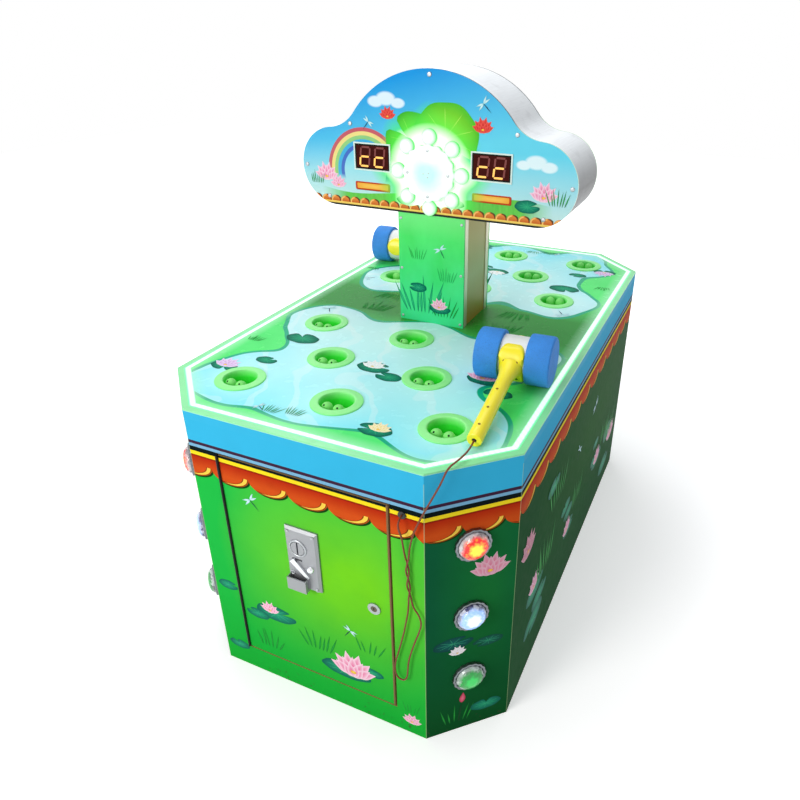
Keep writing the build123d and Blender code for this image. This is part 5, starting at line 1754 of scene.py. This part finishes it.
@dataclass
class Mallet(Part):
    """One mallet: two soft drums on a white core, in a yellow handle with its saddle and cap.

    toward is -1 for the front mallet and 1 for the rear one, whose head lies place_y from the
    machine's middle. drum, length and half_gap are a drum's radius, its length and half the gap
    between the two, in millimetres, as the neck's profile is.
    """

    name: str
    toward: float
    place_y: float
    yaw: float = math.radians(3.8)
    droop: float = math.radians(7.9)
    head_x: float = 0.244
    head_z: float = 0.6253
    drum: float = 45
    length: float = 44
    half_gap: float = 23
    neck: tuple[Point, ...] = (
        (20.5, 40.0), (18.4, 43.5), (16.6, 50), (14.6, 59), (13.0, 70), (12.4, 82), (12.3, 100), (12.3, 234),
        (11.8, 235.8), (10.9, 236.5), (4.3, 236.5), (3.7, 235.9), (3.7, 230.5), (0, 230.5))

    def frame(self) -> tuple[np.ndarray, np.ndarray, np.ndarray, np.ndarray]:
        """Origin, along the head, square to it, and up.

        Returns:
            The origin and the three directions.
        """
        turn, lean = self.toward, math.sin(self.droop)
        origin = np.array((-turn * self.head_x, turn * self.place_y, self.head_z))
        along = np.array((-turn * math.cos(self.yaw), -turn * math.sin(self.yaw), 0))
        up = (-turn * math.sin(self.yaw) * lean, turn * math.cos(self.yaw) * lean, math.cos(self.droop))
        return origin, along, np.cross(up, along), np.array(up)

    def build(self) -> None:
        """Builds the drums, the core between them and the handle."""
        origin, _, square, up = self.frame()
        body, low, high = f"{self.name}_mallet", self.half_gap, self.half_gap + self.length
        rows = [(0, low), (41, low), (44, low + 1), (self.drum, low + 4), (self.drum, high - 5),
                (44.2, high - 2), (41.5, high), (0, high)]
        head, rear = (Side(tuple(origin), tuple(across), tuple(up)) for across in (square, -square))
        piece = Surface().add(turned(head, rows, 64)).add(turned(rear, rows, 64)).build(
            f"{body}_foam", Foam("foam_blue", srgb(52, 140, 228)))
        self.stand(piece, body, "mallet_foam", f"{body}_drums")
        tube = Surface().add(turned(head, [(0, -low), (37.5, -low), (37.5, low), (0, low)], 64))
        white = Moulded("mallet_white", srgb(232, 234, 232), 0.45)
        self.stand(tube.build(f"{body}_tube", white), body, "mallet_core", f"{body}_core")
        self.handle(body)
        self.screws(body)

    def handle(self, body: str) -> None:
        """Builds the moulded handle with its saddle and rear cap, and the bush in its end.

        Args:
            body: the CAD body that it rides on.
        """
        origin, along, _, up = self.frame()
        place, back = (Side(tuple(origin), tuple(across), tuple(up)) for across in (along, -along))
        turn = np.arange(40) * TAU / 40
        disc = 22 * MM * np.stack([np.cos(turn), np.sin(turn)], -1)
        yellow = Surface().add(self.plate(place, rounded((22 * MM, 35 * MM), 12 * MM)))
        yellow.add(self.plate(back, disc)).add(turned(place, self.neck, 48))
        finish = Moulded("mallet_yellow", srgb(255, 238, 34), 0.3, 700.0, 0.00004, 0.06)
        self.stand(yellow.build(f"{body}_grip", finish), body, "mallet_plastic", f"{body}_handle")
        bush = Surface().add(turned(place, [(3.62, 231), (3.62, 234.9), (0, 234.9)], 24))
        self.stand(bush.build(f"{body}_cord_bush", BLACK), body)

    def screws(self, body: str) -> None:
        """Builds the screws along the handle and round its saddle.

        Args:
            body: the CAD body that it rides on.
        """
        origin, along, square, up = self.frame()
        screws = Surface()
        for reach in (117, 167, 211):
            top = tuple(origin - square * reach * MM + up * 12.2 * MM)
            screws.add(hexed(Side(top, tuple(along), tuple(square)), 2.2, 1.0))
        for u, v in ((-11, 15), (11, 15), (-11, -20), (11, -20)):
            lean = math.asin(v / 43.3)
            out = -square * math.cos(lean) + up * math.sin(lean)
            rise = square * math.sin(lean) + up * math.cos(lean)
            spot = tuple(origin + along * u * MM + out * 43.2 * MM)
            screws.add(hexed(Side(spot, tuple(along), tuple(rise)), 2.6, 1.2))
        brass = Metal("brass_screw", srgb(128, 100, 44), 0.4, Grain.CAST, 1.0, 0.2)
        self.stand(screws.build(f"{body}_screws", brass), body)

    @staticmethod
    def plate(side: Side, outline: np.ndarray) -> np.ndarray:
        """Grid of a plate wrapped round the core: at (u, v) it stands sqrt(reach^2 - v^2) out.

        Args:
            side: the way it faces, from the head's middle.
            outline: its outline, flat.
        Returns:
            The grid, closed across its columns.
        """
        rows = []
        for share, reach in ((1.0, 37.8), (1.0, 41.9), (0.975, 42.9), (0.93, 43.3), (0.7, 43.3), (0.45, 43.3),
                             (0.2, 43.3), (0.0, 43.3)):
            u, v = (outline * share).T
            rows.append(side.at(u, v, np.sqrt((reach * MM) ** 2 - v ** 2)))
        return np.stack(rows)


@dataclass
class Cord(Part):
    """The front mallet's cord, from its eyelet in the wall to the end of the handle."""

    diameter: float = 3 * MM
    route: tuple[Place, ...] = (
        (0.2595, -0.4730, 0.59275), (0.261, -0.494, 0.590), (0.257, -0.519, 0.5885),
        (0.2485, -0.545, 0.5865), (0.2435, -0.554, 0.566), (0.234, -0.5625, 0.543),
        (0.2245, -0.5715, 0.520), (0.2145, -0.573, 0.497), (0.205, -0.571, 0.471),
        (0.1985, -0.570, 0.444), (0.1965, -0.5705, 0.420), (0.1936, -0.5735, 0.405),
        (0.1907, -0.5705, 0.390), (0.1943, -0.5675, 0.375), (0.1983, -0.5705, 0.360),
        (0.1964, -0.5735, 0.345), (0.1946, -0.5705, 0.330), (0.193, -0.570, 0.308),
        (0.189, -0.5703, 0.284), (0.1845, -0.570, 0.258), (0.1785, -0.5703, 0.231),
        (0.1725, -0.570, 0.205), (0.167, -0.5703, 0.183), (0.1652, -0.5705, 0.166),
        (0.1662, -0.571, 0.153), (0.1715, -0.5715, 0.1435), (0.1825, -0.5715, 0.143),
        (0.1885, -0.5712, 0.153), (0.190, -0.571, 0.171), (0.192, -0.5713, 0.195),
        (0.198, -0.571, 0.221), (0.205, -0.5713, 0.247), (0.2125, -0.571, 0.271),
        (0.2175, -0.5713, 0.292), (0.213, -0.571, 0.309), (0.204, -0.5705, 0.319),
        (0.2006, -0.5705, 0.330), (0.1964, -0.5675, 0.345), (0.1923, -0.5705, 0.360),
        (0.1943, -0.5735, 0.375), (0.1967, -0.5705, 0.390), (0.1936, -0.5675, 0.405),
        (0.1905, -0.5705, 0.420), (0.188, -0.5715, 0.442), (0.187, -0.574, 0.463),
        (0.1855, -0.580, 0.480), (0.1843, -0.5795, 0.493), (0.184, -0.566, 0.496))

    def curve(self, bevel: float) -> bpy.types.Object:
        """The route as a quadratic NURBS spline that ends on its last points.

        Args:
            bevel: the tube's radius, or 0 for a bare line.
        Returns:
            The object that holds the spline.
        """
        data = bpy.data.curves.new("cord_line", "CURVE")
        data.dimensions, data.bevel_depth, data.bevel_resolution, data.resolution_u = "3D", bevel, 3, 6
        spline = data.splines.new("NURBS")
        spline.points.add(len(self.route) - 1)
        for point, place in zip(spline.points, self.route[::-1]):
            point.co = (*place, 1.0)
        spline.order_u = 3
        spline.use_endpoint_u = True
        holder = placed("cord_line", data)
        bpy.context.view_layer.update()
        return holder

    def mesh(self, bevel: float) -> bpy.types.Mesh:
        """The curve's evaluated mesh: a line without a bevel, a tube with one.

        Args:
            bevel: the tube's radius, or 0 for a bare line.
        Returns:
            The mesh.
        """
        holder = self.curve(bevel)
        graph = bpy.context.evaluated_depsgraph_get()
        made = bpy.data.meshes.new_from_object(holder.evaluated_get(graph))
        data = holder.data
        bpy.data.objects.remove(holder)
        bpy.data.curves.remove(data)
        return made

    def build(self) -> None:
        line = self.mesh(0.0)
        bpy.data.meshes.remove(line)
        mesh = self.mesh(self.diameter / 2)
        mesh.name = "mallet_cord"
        mesh.polygons.foreach_set("use_smooth", np.ones(len(mesh.polygons), bool))
        piece = placed("mallet_cord", mesh)
        Moulded("cord_flex", srgb(118, 50, 16), 0.5, 500.0, 0.00005).dress(piece)
        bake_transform(piece)
        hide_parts("front_cord")


@dataclass
class Door(Part):
    """Door fittings: coin plate, return lever, lock, hinge, and what stands behind them.

    Each turned fitting has a profile in millimetres, and each place on the plate is across and up.
    """

    plate: Side = Side((-0.005, -0.571, 0.340), (1, 0, 0), WALL_UP)
    strip: float = 3.2 * MM
    ring: tuple[Point, ...] = (
        (17.4, 0.05), (17.4, 1.2), (16.4, 2.3), (15.0, 2.6), (14.2, 1.8), (14.0, 0.05))
    knob: tuple[Point, ...] = (
        (6.8, 0.05), (6.8, 1.4), (6.4, 2.2), (5.9, 4.4), (4.2, 6.2), (2.0, 7.1), (0, 7.3))
    rivet: tuple[Point, ...] = ((4.4, 0.05), (4.4, 0.9), (3.6, 1.3), (3.0, 0.7), (0, 0.6))

    def build(self) -> None:
        """Builds the door's small fittings and dresses the others by what they are made of."""
        cast = Metal("cast_plate", srgb(160, 162, 166), 0.4, Grain.CAST, 0.75, 0.16, 0.00006)
        self.dress(cast, "coin_plate")
        knob = Surface().add(turned(self.plate.moved(16 * MM, -13 * MM), self.knob, 32))
        boss = Surface().add(turned(self.plate.moved(-6 * MM, 25 * MM), self.ring, 32))
        boss.add(turned(self.plate.moved(-22 * MM, -33 * MM), self.rivet, 32))
        for u, v in ((-24, 56), (24, 56), (24, -56)):
            boss.add(hexed(self.plate.moved(u * MM, v * MM, 0.05 * MM), 2.6, 1.4))
        low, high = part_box("service_door")
        edge = FRONT.moved(high.x - self.strip / 2, (low.z + high.z) / 2)
        outline = rounded((self.strip / 2, (high.z - low.z) / 2), 1 * MM, 4)
        # A brown strip down the door's right edge stands for its bare edge and for painted shade in the gap
        # beside it.
        edge_and_gap_shade = Metal("door_edge_and_gap_shade", srgb(120, 92, 56), 0.4, Grain.Z, 0.7, 0.2)
        self.stand(Surface().add(slab(edge, outline, 0.05, 0.7)).build("door_edge_strip", edge_and_gap_shade), "door")
        self.stand(knob.build("coin_plate_knob", CHROME), "door")
        self.stand(boss.build("coin_plate_boss", ZINC), "door")
        self.dress(CHROME, "return_lever")
        self.dress(ZINC, "lock_barrel")
        self.dress(Metal("key_plug", srgb(104, 96, 84), 0.35, Grain.CAST), "lock_plug")
        hinge = Metal("black_hinge", srgb(20, 20, 22), 0.42, Grain.Z, 0.6, 0.2)
        self.dress(hinge, "hinge_frame_leaf", "hinge_door_leaf")
        self.dress(STAINLESS, "coin_validator")
        self.dress(ZINC, "cash_box", "power_supply", "solenoids", "mechanism_frame")
        self.dress(BLACK, "power_inlet", "cord_eyelet")
        self.dress(Moulded("board_green", srgb(16, 92, 48), 0.4, 300.0, 0.00008), "control_board")


# The studio


@dataclass
class Studio:
    """Plain pale studio with soft lights, and the photograph's camera."""

    place: Place = (0.56614, -1.27037, 1.14655)
    right: Place = (0.9128, 0.4083, 0.0059)
    up: Place = (-0.1924, 0.4173, 0.8882)
    lens: float = 30.65
    sensor: float = 36.0
    shift: Point = (-0.0568, -0.0332)
    aim: Place = (0, 0, 0.55)
    air: Colour = (0.93, 0.96, 1.0)
    air_strength: float = 0.36
    floor_reach: float = 6.0
    floor_z: float = -0.0005

    def build(self) -> None:
        """Floor, world, lights, camera and the view's transform."""
        self.floor()
        self.world()
        self.lights()
        self.camera()
        bpy.context.scene.view_settings.view_transform = "Standard"

    def floor(self) -> None:
        """A wide pale floor just under the machine's feet."""
        mesh = bpy.data.meshes.new("studio_floor")
        corners = [(x * self.floor_reach, y * self.floor_reach, self.floor_z)
                   for x, y in ((-1, -1), (1, -1), (1, 1), (-1, 1))]
        mesh.from_pydata(corners, [], [(0, 1, 2, 3)])
        piece = placed("studio_floor", mesh)
        Paper("studio_paper").dress(piece)

    def world(self) -> None:
        """White behind the machine and a soft grey light round it."""
        world = bpy.data.worlds.new("studio_air")
        bench = Bench(world)
        lit = bench.node("ShaderNodeBackground", None, {0: self.air, 1: self.air_strength})
        white = bench.node("ShaderNodeBackground", None, {0: (1.0, 1.0, 1.0)})
        inputs = {0: bench.seen(), 1: lit.outputs[0], 2: white.outputs[0]}
        both = bench.node("ShaderNodeMixShader", None, inputs)
        bench.node("ShaderNodeOutputWorld", None, {0: both.outputs[0]})
        bpy.context.scene.world = world

    def lights(self) -> None:
        """Key over the left shoulder, fill from the right, and two lights from above."""
        for name, place, size, watts, colour in (
            ("key", (-1.1, -3.0, 1.9), 1.6, 62.0, (1.0, 0.98, 0.95)),
            ("fill", (2.8, -1.2, 1.6), 2.2, 1.0, (0.9, 0.95, 1.0)),
            ("top", (-0.3, 0.3, 3.0), 2.4, 26.0, (1.0, 1.0, 1.0)),
            ("rear", (-1.5, 2.2, 3.0), 2.0, 30.0, (0.95, 0.97, 1.0)),
        ):
            data = bpy.data.lights.new(name, "AREA")
            data.shape, data.size, data.energy, data.color = "DISK", size, watts, colour
            lamp = placed(name, data)
            lamp.location = place
            lamp.rotation_euler = (Vector(self.aim) - Vector(place)).to_track_quat("-Z", "Y").to_euler()

    def camera(self) -> None:
        """The camera that the photograph was taken from, as fitted to the cabinet's edges."""
        data = bpy.data.cameras.new("photo_camera")
        data.lens, data.sensor_width = self.lens, self.sensor
        data.shift_x, data.shift_y = self.shift
        data.clip_start = 0.02
        right, up = Vector(self.right), Vector(self.up)
        rows = (right.normalized(), up.normalized(), right.cross(up).normalized())
        turn = Matrix(rows).transposed().to_4x4()
        camera = placed("photo_camera", data)
        camera.matrix_world = Matrix.Translation(self.place) @ turn
        bpy.context.scene.camera = camera


def main() -> None:
    """Loads the frame, builds every sub-assembly and the studio."""
    logging.basicConfig(level=logging.INFO, format="%(name)s: %(message)s")
    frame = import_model()
    nodes = frame["nodes"]
    parts = (
        Cabinet(nodes),
        Playfield(nodes),
        Lamps(nodes),
        Header(nodes),
        Mallet(nodes, "front", -1.0, 0.239),
        Mallet(nodes, "rear", 1.0, 0.270),
        Cord(nodes),
        Door(nodes),
    )
    for part in parts:
        part.build()
    Studio().build()


if __name__ == "__main__":
    main()
